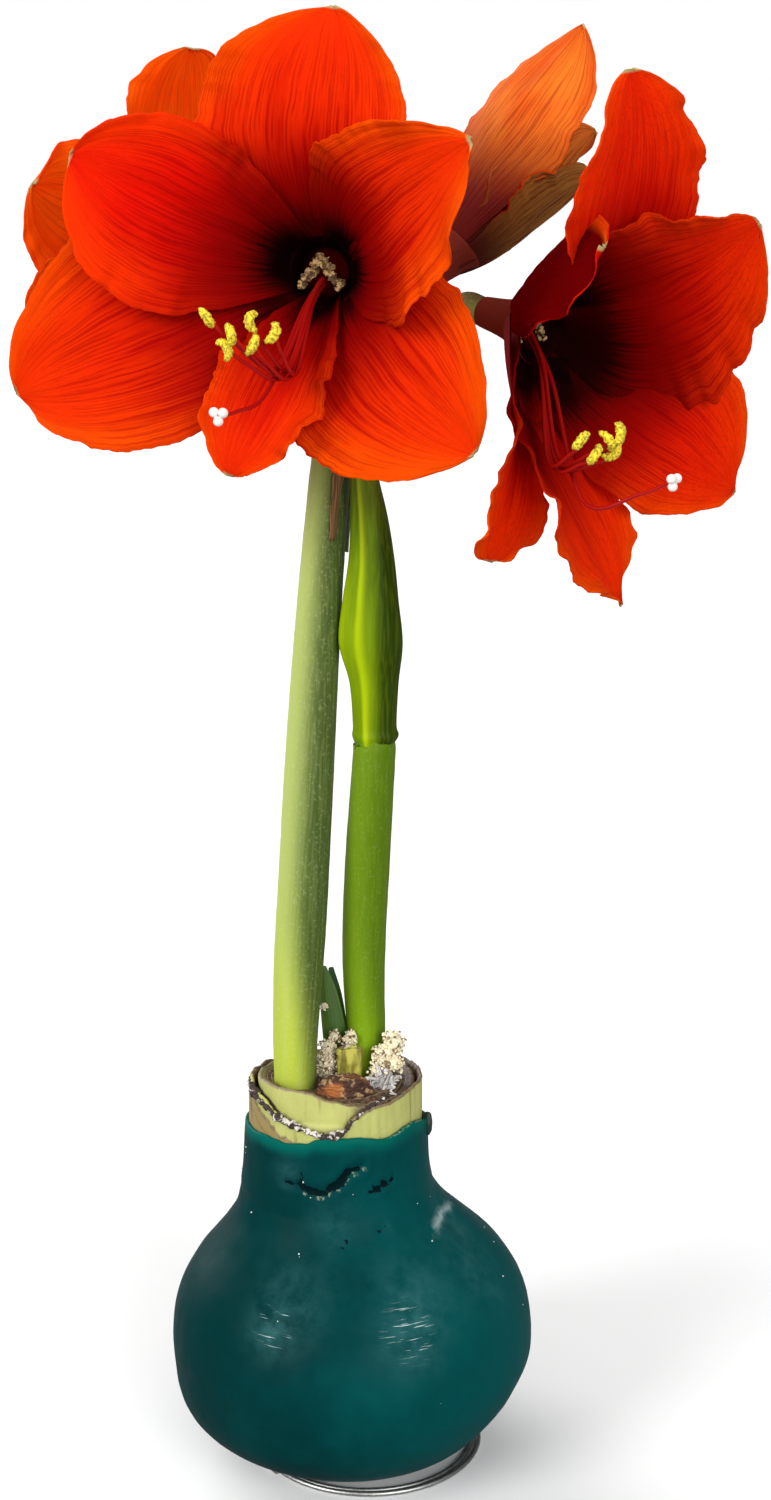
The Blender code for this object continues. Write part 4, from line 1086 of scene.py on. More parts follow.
seat(bud_stem, "stem", "bud_stem")

# The closed spathe
# Two leaf-like valves still closed round the second stem's buds: flattened, with a bright ridge up the
# front, a swollen collar where they join the stem, and darker, browner flesh towards the tip.
SPATHE_RINGS = (  # middle, half width, half depth
    (0.0069, -0.0010, 0.2188, 0.0056, 0.0054),
    (0.0071, -0.0011, 0.2212, 0.0066, 0.0060),
    (0.0069, -0.0013, 0.2245, 0.0062, 0.0054),
    (0.0068, -0.0018, 0.2365, 0.0069, 0.0056),
    (0.0060, -0.0025, 0.2480, 0.0089, 0.0066),
    (0.0060, -0.0025, 0.2600, 0.0078, 0.0062),
    (0.0062, -0.0022, 0.2715, 0.0064, 0.0052),
    (0.0055, -0.0015, 0.2830, 0.0052, 0.0042),
    (0.0042, -0.0010, 0.2935, 0.0040, 0.0032),
    (0.0030, -0.0005, 0.3040, 0.0026, 0.0022),
    (0.0022, 0.0000, 0.3130, 0.0008, 0.0008),
)
SPATHE_SIDES = 72
SPATHE_KEEL_TURN = -113.0
SPATHE_KEEL = 0.00085
SPATHE_DARK = (0.092, 0.172, 0.002)
SPATHE_LIGHT = (0.145, 0.248, 0.004)
SPATHE_SHADE = (0.022, 0.045, 0.0012)
SPATHE_RIDGE = (0.34, 0.47, 0.003)
SPATHE_TIP = (0.085, 0.085, 0.014)
SPATHE_STREAK = (0.24, 0.34, 0.01)


def ringed(name, rings, sides, corner):
    """A closed body through rings, with filled ends. Each point's place is corner(index of ring, turn)."""
    shape = bmesh.new()
    loops = []
    for index in range(rings):
        loops.append([shape.verts.new(corner(index, 2 * math.pi * side / sides)) for side in range(sides)])
    for below, above in zip(loops, loops[1:]):
        for side in range(sides):
            after = (side + 1) % sides
            shape.faces.new((below[side], below[after], above[after], above[side]))
    shape.faces.new(loops[0][::-1])
    shape.faces.new(loops[-1])
    bmesh.ops.recalc_face_normals(shape, faces=shape.faces)
    mesh = bpy.data.meshes.new(name)
    shape.to_mesh(mesh)
    shape.free()
    mesh.shade_smooth()
    made = bpy.data.objects.new(name, mesh)
    bpy.context.scene.collection.objects.link(made)
    return made


spathe_run = smooth_run(SPATHE_RINGS, 7)


def from_keel(angle):
    """Degrees from the spathe's bright ridge, from -180 to 180."""
    return (angle - SPATHE_KEEL_TURN + 180) % 360 - 180


def spathe_corner(index, turn):
    x, y, z, half_width, half_depth = spathe_run[index]
    angle = math.degrees(turn)
    away = from_keel(angle)
    seam = (angle - SPATHE_KEEL_TURN) % 360 - 180
    keel = SPATHE_KEEL * bump(away, 9) + 0.0004 * bump(seam, 9) - 0.00035 * bump(away - 24, 9)
    keel += 0.0003 * bump(away + 52, 12) * bump(z - 0.258, 0.016)
    flute = 0.00008 * math.cos(9 * turn + 60 * z)
    share = min(1.0, half_depth / 0.004)
    grow = 1 + share * (keel + flute) / max(half_depth, 0.001)
    return (x + grow * half_width * math.cos(turn), y + grow * half_depth * math.sin(turn), z)


spathe = ringed("closed_spathe", len(spathe_run), SPATHE_SIDES, spathe_corner)
ridge_marks = []
for point in spathe.data.vertices:
    x, y, z, half_width, half_depth = min(spathe_run, key=lambda ring: abs(ring[2] - point.co.z))
    angle = math.degrees(math.atan2((point.co.y - y) / half_depth, (point.co.x - x) / half_width))
    away = from_keel(angle)
    left = bump(away + 48, 26) * bump(point.co.z - 0.252, 0.022)
    low = bump(away - 5, 22) * bump(point.co.z - 0.238, 0.02)
    ridge_marks.append(min(1.0, bump(away, 8) + 0.75 * left + 0.4 * low))
mark(spathe, "ridge", ridge_marks)
spathe_finish, tree, shader = new_finish("green_spathe", 0.4, Specular_IOR_Level=0.05)
where = own_place(tree)
fine = place_group(tree, STREAKS, Vector=where, Across=1300.0, Along=38.0)
broad = place_group(tree, STREAKS, Vector=where, Across=300.0, Along=30.0)
axes = axes_of(tree, where)
colour = mix_colour(tree, broad["Mask"], SPATHE_DARK, SPATHE_LIGHT)
colour = mix_colour(tree, soft_step(tree, axes[0], 0.0045, 0.0095), colour, SPATHE_SHADE)
colour = mix_colour(tree, mark_of(tree, "ridge"), colour, SPATHE_RIDGE)
colour = mix_colour(tree, times(tree, soft_step(tree, axes[2], 0.268, 0.305), 0.6), colour, SPATHE_TIP)
colour = mix_colour(tree, times(tree, fine["Mask"], 0.12), colour, SPATHE_STREAK)
set_colour(tree, shader, colour)
add_relief(tree, shader, fine["Height"], 0.3, 0.0003)
spathe.data.materials.append(spathe_finish)
seat(spathe, "spathe", "bud_spathe")

# Bracts under the umbel, and the young leaves
# Thin blades with a rolled edge: a brown papery bract and a grey-green one hang beside the stem's top, and
# two young leaves push up between the stems.
BROWN_BRACT = (
    (0.0005, 0.0042, 0.3235, 0.0020),
    (-0.0010, 0.0020, 0.3080, 0.0018),
    (-0.0030, -0.0008, 0.2925, 0.0014),
    (-0.0046, -0.0026, 0.2770, 0.0009),
)
GREEN_BRACT = (
    (0.0054, 0.0132, 0.3235, 0.0024),
    (0.0024, 0.0112, 0.3080, 0.0022),
    (0.0007, 0.0092, 0.2925, 0.0018),
    (-0.0008, 0.0076, 0.2720, 0.0008),
)
FRONT_LEAF = (
    (-0.0044, 0.0056, 0.1136, 0.0024),
    (-0.0050, 0.0056, 0.1275, 0.0032),
    (-0.0066, 0.0058, 0.1400, 0.0024),
    (-0.0081, 0.0060, 0.1495, 0.0004),
)
BACK_LEAF = (
    (-0.0042, 0.0100, 0.1136, 0.0020),
    (-0.0042, 0.0104, 0.1265, 0.0026),
    (-0.0052, 0.0106, 0.1385, 0.0020),
    (-0.0061, 0.0110, 0.1475, 0.0004),
)
BLADE_STEPS = 14
BLADE_COLUMNS = 16


def new_sheet(name, rows, columns, place):
    """A grid of faces with place(t, u) as its points, and UV with u across and t along."""
    points = []
    faces = []
    for row in range(rows + 1):
        for column in range(columns + 1):
            points.append(place(row / rows, column / columns))
    for row in range(rows):
        for column in range(columns):
            first = row * (columns + 1) + column
            faces.append((first, first + columns + 1, first + columns + 2, first + 1))
    mesh = bpy.data.meshes.new(name)
    mesh.from_pydata(points, [], faces)
    uv = mesh.uv_layers.new(name="UVMap")
    for loop in mesh.loops:
        row, column = divmod(loop.vertex_index, columns + 1)
        uv.data[loop.index].uv = (column / columns, row / rows)
    mesh.shade_smooth()
    made = bpy.data.objects.new(name, mesh)
    bpy.context.scene.collection.objects.link(made)
    return made


def thicken(thing, thickness, two_faces=False):
    """Gives the sheet its thickness, and its back its own finish if it has one."""
    wall = thing.modifiers.new("Thickness", "SOLIDIFY")
    wall.thickness = thickness
    wall.offset = 0.0
    wall.use_even_offset = False
    if two_faces:
        wall.material_offset = 1
        wall.material_offset_rim = 0
    pick_only(thing)
    bpy.ops.object.modifier_apply(modifier=wall.name)


def blade(name, line, face, thickness, cup, ragged=0.0):
    """A leaf or bract along its middle line, bent round across it."""
    run = smooth_run(line, BLADE_STEPS)

    def place(t, u):
        index = round(t * (len(run) - 1))
        values = run[index]
        before = Vector(run[max(index - 1, 0)][:3])
        after = Vector(run[min(index + 1, len(run) - 1)][:3])
        along = (after - before).normalized()
        side = along.cross(Vector(face)).normalized()
        out = side.cross(along)
        v = 2 * u - 1
        half = values[3] * (1 + ragged * rough((t * 9, v, 0), 1.0, 2))
        curl = cup * v * v + ragged * 0.5 * rough((t * 6, v * 2, 3), 1.0, 5)
        return Vector(values[:3]) + half * (v * side - curl * out)

    made = new_sheet(name, len(run) - 1, BLADE_COLUMNS, place)
    thicken(made, thickness)
    return made


def sheet_place(tree):
    return add_node(tree, "ShaderNodeUVMap", uv_map="UVMap").outputs[0]


def blade_finish(name, dark, light, edge, roughness, edge_share=0.5):
    """Streaks along a blade, and a paler or darker edge."""
    made, tree, shader = new_finish(name, roughness)
    uv = sheet_place(tree)
    streaks = mottle(tree, vector_node(tree, "MULTIPLY", uv, (26.0, 2.2, 1.0))[0], 1.0, 5.0)
    colour = mix_colour(tree, soft_step(tree, streaks, 0.38, 0.64), dark, light)
    off_middle = math_node(tree, "ABSOLUTE", math_node(tree, "SUBTRACT", axes_of(tree, uv)[0], 0.5))
    at_edge = times(tree, soft_step(tree, off_middle, 0.40, 0.47), edge_share)
    set_colour(tree, shader, mix_colour(tree, at_edge, colour, edge))
    add_relief(tree, shader, streaks, 0.4, 0.0004)
    return made


for name, line, face, thickness, cup, ragged, finish, node, slot in (
    (
        "papery_bract", BROWN_BRACT, (0.35, -0.94, 0.0), 0.0004, 0.9, 0.9,
        blade_finish("dry_bract", (0.060, 0.024, 0.007), (0.24, 0.125, 0.035), (0.40, 0.22, 0.06), 0.8),
        "brown_bract", "dry_bract",
    ),
    (
        "grey_bract", GREEN_BRACT, (0.90, 0.43, 0.0), 0.0005, 0.4, 0.1,
        # Its pale edge is a painted highlight: the thin rim lit from behind.
        blade_finish(
            "grey_green_bract", (0.15, 0.25, 0.09), (0.26, 0.38, 0.18), (0.55, 0.66, 0.46), 0.5, 0.9
        ),
        "green_bract", "green_bract",
    ),
    (
        "young_leaf_front", FRONT_LEAF, (0.0, -1.0, 0.0), 0.0012, 0.35, 0.0,
        blade_finish("young_leaf", (0.040, 0.095, 0.010), (0.070, 0.150, 0.020), (0.13, 0.24, 0.06), 0.42),
        "front_leaf", "young_leaf",
    ),
    (
        "young_leaf_back", BACK_LEAF, (0.0, -1.0, 0.0), 0.0012, 0.35, 0.0,
        blade_finish(
            "young_leaf_shaded", (0.015, 0.055, 0.010), (0.030, 0.095, 0.020), (0.06, 0.15, 0.05), 0.45
        ),
        "back_leaf", "young_leaf",
    ),
):
    made = blade(name, line, face, thickness, cup, ragged)
    made.data.materials.append(finish)
    seat(made, slot, node)

# Dried remains on the cut neck
# Cream callus in crumbly lumps between the stems, a low red-brown mound left of an inner scale, the cut
# base of an old leaf, and a curl of silvery papery skin.
LUMPS = (  # middle, radius and how many crumbs
    ((-0.0078, 0.0000, 0.1185), 0.0030, 90),
    ((-0.0072, -0.0010, 0.1222), 0.0030, 110),
    ((-0.0068, 0.0004, 0.1262), 0.0026, 90),
    ((-0.0050, 0.0016, 0.1292), 0.0018, 50),
    ((-0.0081, 0.0036, 0.1378), 0.0010, 16),
    ((-0.0016, 0.0006, 0.1200), 0.0030, 80),
    ((-0.0012, 0.0012, 0.1250), 0.0026, 90),
    ((-0.0002, 0.0016, 0.1290), 0.0021, 70),
    ((0.0085, -0.0022, 0.1200), 0.0034, 90),
    ((0.0120, -0.0012, 0.1225), 0.0034, 110),
    ((0.0094, -0.0020, 0.1255), 0.0034, 120),
    ((0.0122, -0.0010, 0.1285), 0.0034, 130),
    ((0.0050, -0.0030, 0.1170), 0.0022, 40),
)
CRUMB_RADII = (0.00024, 0.00052)
CALLUS_DARK = (0.20, 0.11, 0.050)
CALLUS_LIGHT = (0.90, 0.82, 0.58)
CALLUS_SHADE = (0.12, 0.055, 0.025)
MOUND_MIDDLE = (-0.0018, -0.0112, 0.1136)
MOUND_SIZE = (0.0086, 0.0050, 0.0084)
MOUND_PROFILE = ((0.0, 0.0), (1.0, 0.0), (0.97, 0.34), (0.82, 0.68), (0.52, 0.90), (0.0, 1.0))
MOUND_STEPS = 120
MOUND_DARK = (0.060, 0.022, 0.012)
MOUND_LIGHT = (0.40, 0.25, 0.12)
MOUND_ORANGE = (0.40, 0.13, 0.025)
MOUND_FOOT = (0.15, 0.075, 0.045)
ORANGE_SPOT = (-0.0052, -0.0155, 0.1195)
STUB_MIDDLE = (-0.0005, -0.0034, 0.1136)
STUB_SIZE = (0.0040, 0.0017, 0.0136)
STUB_PROFILE = ((0.0, 0.0), (0.86, 0.0), (0.92, 0.6), (1.0, 1.0), (0.86, 1.03), (0.7, 0.95), (0.0, 0.90))
STUB_STEPS = 64
STUB_DARK = (0.17, 0.14, 0.018)
STUB_LIGHT = (0.46, 0.43, 0.06)
PAPER_SKIN = (
    (0.0118, -0.0040, 0.1200, 0.0030),
    (0.0098, -0.0066, 0.1184, 0.0036),
    (0.0082, -0.0094, 0.1160, 0.0034),
    (0.0070, -0.0124, 0.1146, 0.0022),
)

chance = random.Random(5)
core = round_grain(3)
grain = round_grain(2)
crumbs = []
for middle, radius, count in LUMPS:
    crumbs.append(copy_grain(core, middle, 0.8 * radius, 0.25, 0.0014))
    for number in range(count):
        way = Vector([chance.gauss(0, 1) for axis in range(3)]).normalized()
        place = Vector(middle) + radius * chance.uniform(0.62, 1.20) * way
        crumbs.append(copy_grain(grain, place, chance.uniform(*CRUMB_RADII), 0.45, 0.0006))
for template in (core, grain):
    bpy.data.objects.remove(template)
callus = joined("dried_callus", crumbs)
callus.data.shade_smooth()
callus_finish, tree, shader = new_finish("cream_callus", 0.85)
flecks = place_group(tree, CRUMBS, Dark=CALLUS_DARK, Light=CALLUS_LIGHT, Grain=520.0, Share=0.37)
axes = axes_of(tree, own_place(tree))
low = math_node(tree, "SUBTRACT", 1.0, soft_step(tree, axes[2], 0.1165, 0.1205))
inner_side = times(tree, soft_step(tree, axes[0], 0.0050, -0.0030), 0.35)
shade = times(tree, math_node(tree, "MAXIMUM", low, inner_side), 0.75)
set_colour(tree, shader, mix_colour(tree, shade, flecks["Color"], CALLUS_SHADE))
add_relief(tree, shader, flecks["Height"], 0.5, 0.0005)
callus.data.materials.append(callus_finish)
seat(callus, "callus", "callus")

mound = turned("scale_remains", even_run(MOUND_PROFILE, 0.035), MOUND_STEPS)
for point in mound.data.vertices:
    place = Vector(a * b for a, b in zip(point.co, MOUND_SIZE))
    shelf = 0.0005 * math.sin(place.z / 0.00028 + 3 * rough(place, 0.003, 1))
    knobs = 0.0009 * abs(rough(place, 0.0016, 2)) + 0.0004 * rough(place, 0.0006, 3)
    outward = Vector((place.x, place.y, 0.002)).normalized()
    point.co = Vector(MOUND_MIDDLE) + place + (shelf + knobs) * outward * ease(0.0, 0.001, place.z)
mound_finish, tree, shader = new_finish("red_brown_scale", 0.8)
flecks = place_group(tree, CRUMBS, Dark=MOUND_DARK, Light=MOUND_LIGHT, Grain=420.0, Share=0.50)
where = own_place(tree)
warm = mottle(tree, where, 160.0)
height = axes_of(tree, where)[2]
spot = soft_step(tree, vector_node(tree, "DISTANCE", where, ORANGE_SPOT)[1], 0.0042, 0.0016)
spot = times(tree, spot, soft_step(tree, warm, 0.30, 0.50))
orange = times(tree, soft_step(tree, warm, 0.50, 0.66), 0.4)
orange = math_node(tree, "MAXIMUM", orange, times(tree, spot, 0.9))
colour = mix_colour(tree, orange, flecks["Color"], MOUND_ORANGE)
top = times(tree, soft_step(tree, height, 0.1205, 0.1222), 0.5)
colour = mix_colour(tree, top, colour, flecks["Color"])
foot = math_node(tree, "SUBTRACT", 1.0, soft_step(tree, height, 0.1140, 0.1170))
set_colour(tree, shader, mix_colour(tree, times(tree, foot, 0.8), colour, MOUND_FOOT))
add_relief(tree, shader, flecks["Height"], 0.6, 0.0006)
mound.data.materials.append(mound_finish)
seat(mound, "brown_scale", "brown_scale")

stub = turned("old_leaf_base", even_run(STUB_PROFILE, 0.05), STUB_STEPS)
for point in stub.data.vertices:
    place = Vector(a * b for a, b in zip(point.co, STUB_SIZE))
    wavy = 0.0004 * rough(place, 0.002, 4) * ease(0.003, 0.009, place.z)
    point.co = Vector(STUB_MIDDLE) + place + Vector((wavy, wavy, 2 * wavy))
stub_finish, tree, shader = new_finish("olive_stub", 0.5)
broad = place_group(tree, STREAKS, Vector=own_place(tree), Across=500.0, Along=120.0)
set_colour(tree, shader, mix_colour(tree, broad["Mask"], STUB_DARK, STUB_LIGHT))
stub.data.materials.append(stub_finish)
seat(stub, "leaf_stub", "leaf_stub")

skin = blade("silvery_skin", PAPER_SKIN, (0.1, -0.5, 0.85), 0.0003, -0.5, 0.8)
push_out(skin, lambda place: 0.0004 * rough(place, 0.0014, 2))
skin.data.materials.append(
    blade_finish("silver_paper", (0.10, 0.085, 0.080), (0.70, 0.68, 0.64), (0.80, 0.78, 0.74), 0.5)
)
seat(skin, "paper_skin", "paper_skin")

# The blooms
# Each bloom is a short fleshy tube with six petals grown from its wall: thin, velvety, orange-red, with
# darker lengthwise veins, finely ruffled edges and a throat that darkens to near black as painted shade.
# Each petal's glow makes it more orange, partly its own colour and partly painted light through it.
TUBE_OUTSIDE = ((0.0042, -0.024), (0.0053, -0.0160), (0.0074, -0.0085), (0.0097, -0.0040))
TUBE_INSIDE = ((0.0085, -0.0040), (0.0056, -0.0085), (0.0034, -0.0115))
TUBE_FLOOR = -0.0120
TUBE_STEPS = 48
TUBE_GLOW = -0.2
TUBE_SHARE = 0.13  # of the length of the petals' pattern
PETAL_ROOT = (0.0066, -0.0085)
PETAL_THICKNESS = 0.0005
PETAL_ROWS = 88
PETAL_COLUMNS = 38
USUAL_PETAL = {  # what holds where a petal doesn't say otherwise, in degrees and metres
    "lean": 28,  # its slope off the bloom's axis at its root
    "curl": 100,  # and at its tip
    "lift": 0.42,  # how far along the petal the lean is felt
    "fall": 0.38,  # and the curl
    "cup": 0.3,  # how far its blade is rolled across
    "sway": 0.0,  # how far its tip lies to the side
    "skew": 0.0,  # how much wider one half is than the other
    "claw": 0.30,  # the width at its root, as a share
    "widest": 0.58,  # where along it is widest
    "point": 0.75,  # how sharp its tip is
    "ragged": 1.0,
    "ruffle": 0.0015,
    # glow: how orange a petal is, partly its own colour and partly painted light through it; below 0 it
    # paints the petal in shade.
    "glow": 0.0,  # how orange it is
    "olive": 0.0,
}
OPEN_ROLL = 0.95  # how far every petal is rolled at its root, and where along it opens out
OPENS_AT = 0.45
FRONT_BLOOM["petals"] = (
    {
        "angle": 82, "reach": 0.065, "rise": 0.014, "width": 0.057,
        "curl": 105, "cup": 0.35, "skew": 0.08, "glow": 0.30,
    },
    {
        "angle": -158, "reach": 0.090, "rise": 0.008, "width": 0.062,
        "curl": 110, "cup": 0.25, "skew": -0.02, "widest": 0.43, "glow": 0.35,
    },
    {
        "angle": -42, "reach": 0.066, "rise": 0.013, "width": 0.057, "curl": 110,
        "cup": 0.2, "skew": -0.06, "widest": 0.5, "glow": 0.45,
    },
    {
        "angle": 30, "reach": 0.061, "rise": 0.034, "width": 0.050, "curl": 75,
        "cup": 0.45, "skew": -0.1, "widest": 0.42, "glow": 0.45, "ragged": 1.5,
    },
    {"angle": 155, "reach": 0.066, "rise": 0.022, "width": 0.050, "curl": 95, "cup": 0.35, "skew": 0.08},
    {
        "angle": -90, "reach": 0.052, "rise": 0.022, "width": 0.033,
        "curl": 100, "cup": 0.3, "sway": -0.014, "glow": 0.2, "ragged": 2.2,
    },
)
RIGHT_BLOOM["petals"] = (
    {
        "angle": 99, "reach": 0.072, "rise": 0.020, "width": 0.053, "lean": 14,
        "curl": 112, "cup": 0.3, "skew": 0.06, "glow": 0.1, "ragged": 1.6,
    },
    {
        "angle": -37, "reach": 0.068, "rise": 0.031, "width": 0.052, "lean": 60, "curl": 95, "fall": 0.5,
        "cup": 0.02, "skew": 0.02, "claw": 0.55, "widest": 0.54, "point": 0.9, "glow": 0.18,
    },
    {
        "angle": -137, "reach": 0.056, "rise": 0.009, "width": 0.026, "lean": 52, "curl": 125, "cup": 0.5,
        "sway": 0.028, "skew": -0.15, "claw": 0.8, "widest": 0.6, "point": 0.4, "ragged": 2.0, "glow": 0.3,
    },
    {
        "angle": 44, "reach": 0.048, "rise": 0.037, "width": 0.070, "lean": 16, "curl": 75, "cup": 0.35,
        "sway": 0.004, "skew": -0.14, "widest": 0.36, "point": 0.8, "glow": 0.1, "ragged": 1.6,
    },
    {
        # Its glow of -0.6 paints this folded petal dark red, as painted shade.
        "angle": 154, "reach": 0.042, "rise": 0.036, "width": 0.036, "lean": 62,
        "curl": 20, "cup": 0.6, "sway": -0.014, "skew": -0.25, "glow": -0.6,
    },
    {
        "angle": -112, "reach": 0.059, "rise": 0.022, "width": 0.050, "lean": 62, "curl": 95, "cup": 0.3,
        "sway": 0.048, "skew": -0.2, "claw": 0.8, "widest": 0.5, "point": 1.3, "ragged": 3.0, "glow": 0.3,
    },
)
LEFT_BLOOM["petals"] = (
    {
        "angle": 84, "reach": 0.060, "rise": 0.010, "width": 0.060, "curl": 105,
        "cup": 0.3, "skew": 0.2, "point": 0.6, "glow": 0.35,
    },
    {"angle": -150, "reach": 0.062, "rise": 0.020, "width": 0.050, "curl": 100, "cup": 0.3},
    {"angle": -30, "reach": 0.060, "rise": 0.020, "width": 0.050, "curl": 100, "cup": 0.3},
    {"angle": 22, "reach": 0.053, "rise": 0.028, "width": 0.046, "curl": 90, "cup": 0.35, "glow": 0.3},
    {"angle": 150, "reach": 0.060, "rise": 0.026, "width": 0.046, "curl": 90, "cup": 0.35},
    {"angle": -92, "reach": 0.056, "rise": 0.022, "width": 0.032, "curl": 100, "cup": 0.3},
)
OPENING_BUD["petals"] = tuple(
    {
        "angle": angle, "reach": reach, "rise": rise, "width": width, "lean": lean, "curl": curl,
        "lift": 0.38, "fall": 0.36, "cup": 0.75, "claw": 0.4, "widest": 0.55, "ruffle": 0.001,
        "olive": olive, "glow": 0.3,
    }
    for angle, reach, rise, width, lean, curl, olive in (
        (116, 0.021, 0.063, 0.040, 26, 8, 0.0),
        (-148, 0.010, 0.047, 0.034, 28, 10, 0.55),
        (-118, 0.018, 0.038, 0.042, 30, 20, 1.0),
        (50, 0.006, 0.047, 0.022, 8, 0, 0.1),
        (172, 0.006, 0.046, 0.022, 8, 5, 0.2),
        (-60, 0.008, 0.040, 0.022, 12, 5, 0.8),
    )
)
FACE_RED = (0.78, 0.0055, 0.0012)
FACE_ORANGE = (0.92, 0.042, 0.0012)
FACE_GLOW = (0.98, 0.105, 0.0012)
VEIN_RED = (0.38, 0.0012, 0.0010)
THROAT_RED = (0.24, 0.0006, 0.0008)
THROAT_BLACK = (0.004, 0.0002, 0.0002)
STREAK_RED = (0.50, 0.0025, 0.0010)
FACE_VEINS = 23.0
BACK_VEINS = 22.0
FACE_LIGHT = 0.36  # shares of light that come through a petal, on its face and on its back
BACK_LIGHT = 0.30
PALE_TIP = (0.62, 0.50, 0.20)
BACK_VEIN = (0.30, 0.022, 0.006)
BASE_VEIN = (0.050, 0.005, 0.004)
SHADED_BACK = (0.12, 0.0005, 0.0008)
TUBE_FLESH = (0.24, 0.040, 0.024)
OLIVE = (0.36, 0.170, 0.032)
OLIVE_VEIN = (0.10, 0.020, 0.007)
OLIVE_BASE = (0.09, 0.018, 0.012)


def petal_width(petal, t):
    """Share of the petal's full width at t: a narrow claw, a broad blade and a pointed tip."""
    widest = petal["widest"]
    claw = petal["claw"]
    if t < widest:
        return claw + (1 - claw) * math.sin(math.pi / 2 * t / widest) ** 1.3
    end = (t - widest) / (1 - widest)
    return max((1 - end**2.2) ** petal["point"], 0.03)


def petal_point(petal, t, v, seed):
    """A point of a petal's middle surface in its bloom's frame: t from root to tip, v from -1 to 1."""
    turn = math.radians(petal["angle"])
    radial = Vector((math.cos(turn), math.sin(turn), 0))
    around = Vector((-math.sin(turn), math.cos(turn), 0))
    root = Vector(PETAL_ROOT)
    tip = Vector((petal["reach"], petal["rise"]))
    lean = math.radians(petal["lean"])
    curl = math.radians(petal["curl"])
    span = (tip - root).length
    first = root + petal["lift"] * span * Vector((math.sin(lean), math.cos(lean)))
    second = tip - petal["fall"] * span * Vector((math.sin(curl), math.cos(curl)))
    s = 1 - t
    line = s**3 * root + 3 * s * s * t * first + 3 * s * t * t * second + t**3 * tip
    slope = 3 * s * s * (first - root) + 6 * s * t * (second - first) + 3 * t * t * (tip - second)
    sway = petal["sway"]
    middle = line.x * radial + Vector((0, 0, line.y)) + sway * t * t * around
    along = (slope.x * radial + Vector((0, 0, slope.y)) + 2 * sway * t * around).normalized()
    side = (around - around.dot(along) * along).normalized()
    face = along.cross(side)
    edge = abs(v) ** 2.5 * ease(0.15, 0.5, t)
    margin = abs(v) ** 6 * ease(0.12, 0.4, t)
    wing = 1.0 if v > 0 else -1.0
    tooth = 0.045 * rough((t * 8, wing, seed), 1.0) + 0.030 * rough((t * 24, wing, seed), 1.0, 1)
    tooth = petal["ragged"] * (tooth + 0.014 * rough((t * 60, wing, seed), 1.0, 2))
    half = petal["width"] / 2 * petal_width(petal, t) * (1 + petal["skew"] * v)
    half *= 1 + tooth * margin
    bend = OPEN_ROLL + (petal["cup"] - OPEN_ROLL) * ease(0.0, OPENS_AT, t)
    across = half * math.sin(bend * v) / bend
    rise = half * (1 - math.cos(bend * v)) / bend
    phase = 1.1 if v > 0 else 0.0
    rise += petal["ruffle"] * edge * math.sin(2 * math.pi * 2.5 * t + phase)
    wavy = 0.0022 * rough((t * 9, wing, seed), 1.0, 2) + 0.0009 * rough((t * 22, wing, seed), 1.0, 3)
    rise += petal["ragged"] * abs(v) ** 4 * ease(0.12, 0.4, t) * wavy
    rise -= 0.0008 * bump(v, 0.09) * (1 - ease(0.75, 1.0, t))
    rise += 0.00013 * math.cos(34 * v + 2 * rough((t * 3, v, seed), 1.0)) * ease(0.1, 0.35, t)
    rise += 0.0006 * rough((t * 5, v * 2.5, seed), 1.0, 3) * ease(0.15, 0.5, t)
    return middle + across * side + rise * face


def fine_petal(petal, frame_of, seed, finishes):
    """One petal: a thin sheet with its front face towards the bloom's axis, thickened, its marks kept."""

    def place(t, u):
        v = 2 * u - 1
        return frame_of @ petal_point(petal, t, math.copysign(1 - (1 - abs(v)) ** 1.35, v), seed)

    made = new_sheet("petal", PETAL_ROWS, PETAL_COLUMNS, place)
    for finish in finishes:
        made.data.materials.append(finish)
    thicken(made, PETAL_THICKNESS, two_faces=True)
    marks = {"glow": petal["glow"], "olive": petal["olive"], "which": float(seed)}
    mark_all(made, [marks] * len(made.data.vertices))
    return made


def fine_tube(frame_of, finishes):
    """The bloom's tube, its inside in the face's finish and its outside in the back's."""
    outer = even_run(smooth_run(TUBE_OUTSIDE, 6), 0.0008)
    lip = [(0.0096, -0.0037), (0.0090, -0.0037)]
    inner = even_run(smooth_run(TUBE_INSIDE, 6), 0.0008)
    profile = [(0.0, -TUBE_LENGTH)] + outer + lip + inner + [(0.0008, TUBE_FLOOR), (0.0, TUBE_FLOOR)]
    made = turned("tube", profile, TUBE_STEPS)
    for finish in finishes:
        made.data.materials.append(finish)
    uv = made.data.uv_layers.new(name="UVMap")
    for face in made.data.polygons:
        middle = face.center
        radius = math.hypot(middle.x, middle.y)
        outside = face.normal.x * middle.x + face.normal.y * middle.y > 0 or middle.z < TUBE_FLOOR - 0.003
        face.material_index = 1 if outside and radius > 0.0035 else 0
        for corner in face.loop_indices:
            point = made.data.vertices[made.data.loops[corner].vertex_index].co
            around = math.atan2(point.y, point.x) / (2 * math.pi)
            uv.data[corner].uv = (6 * around % 1.0, TUBE_SHARE * (point.z + TUBE_LENGTH) / TUBE_LENGTH)
    mark_all(made, [{"glow": TUBE_GLOW, "olive": 0.0, "which": 0.5}] * len(made.data.vertices))
    made.data.transform(frame_of)
    return made


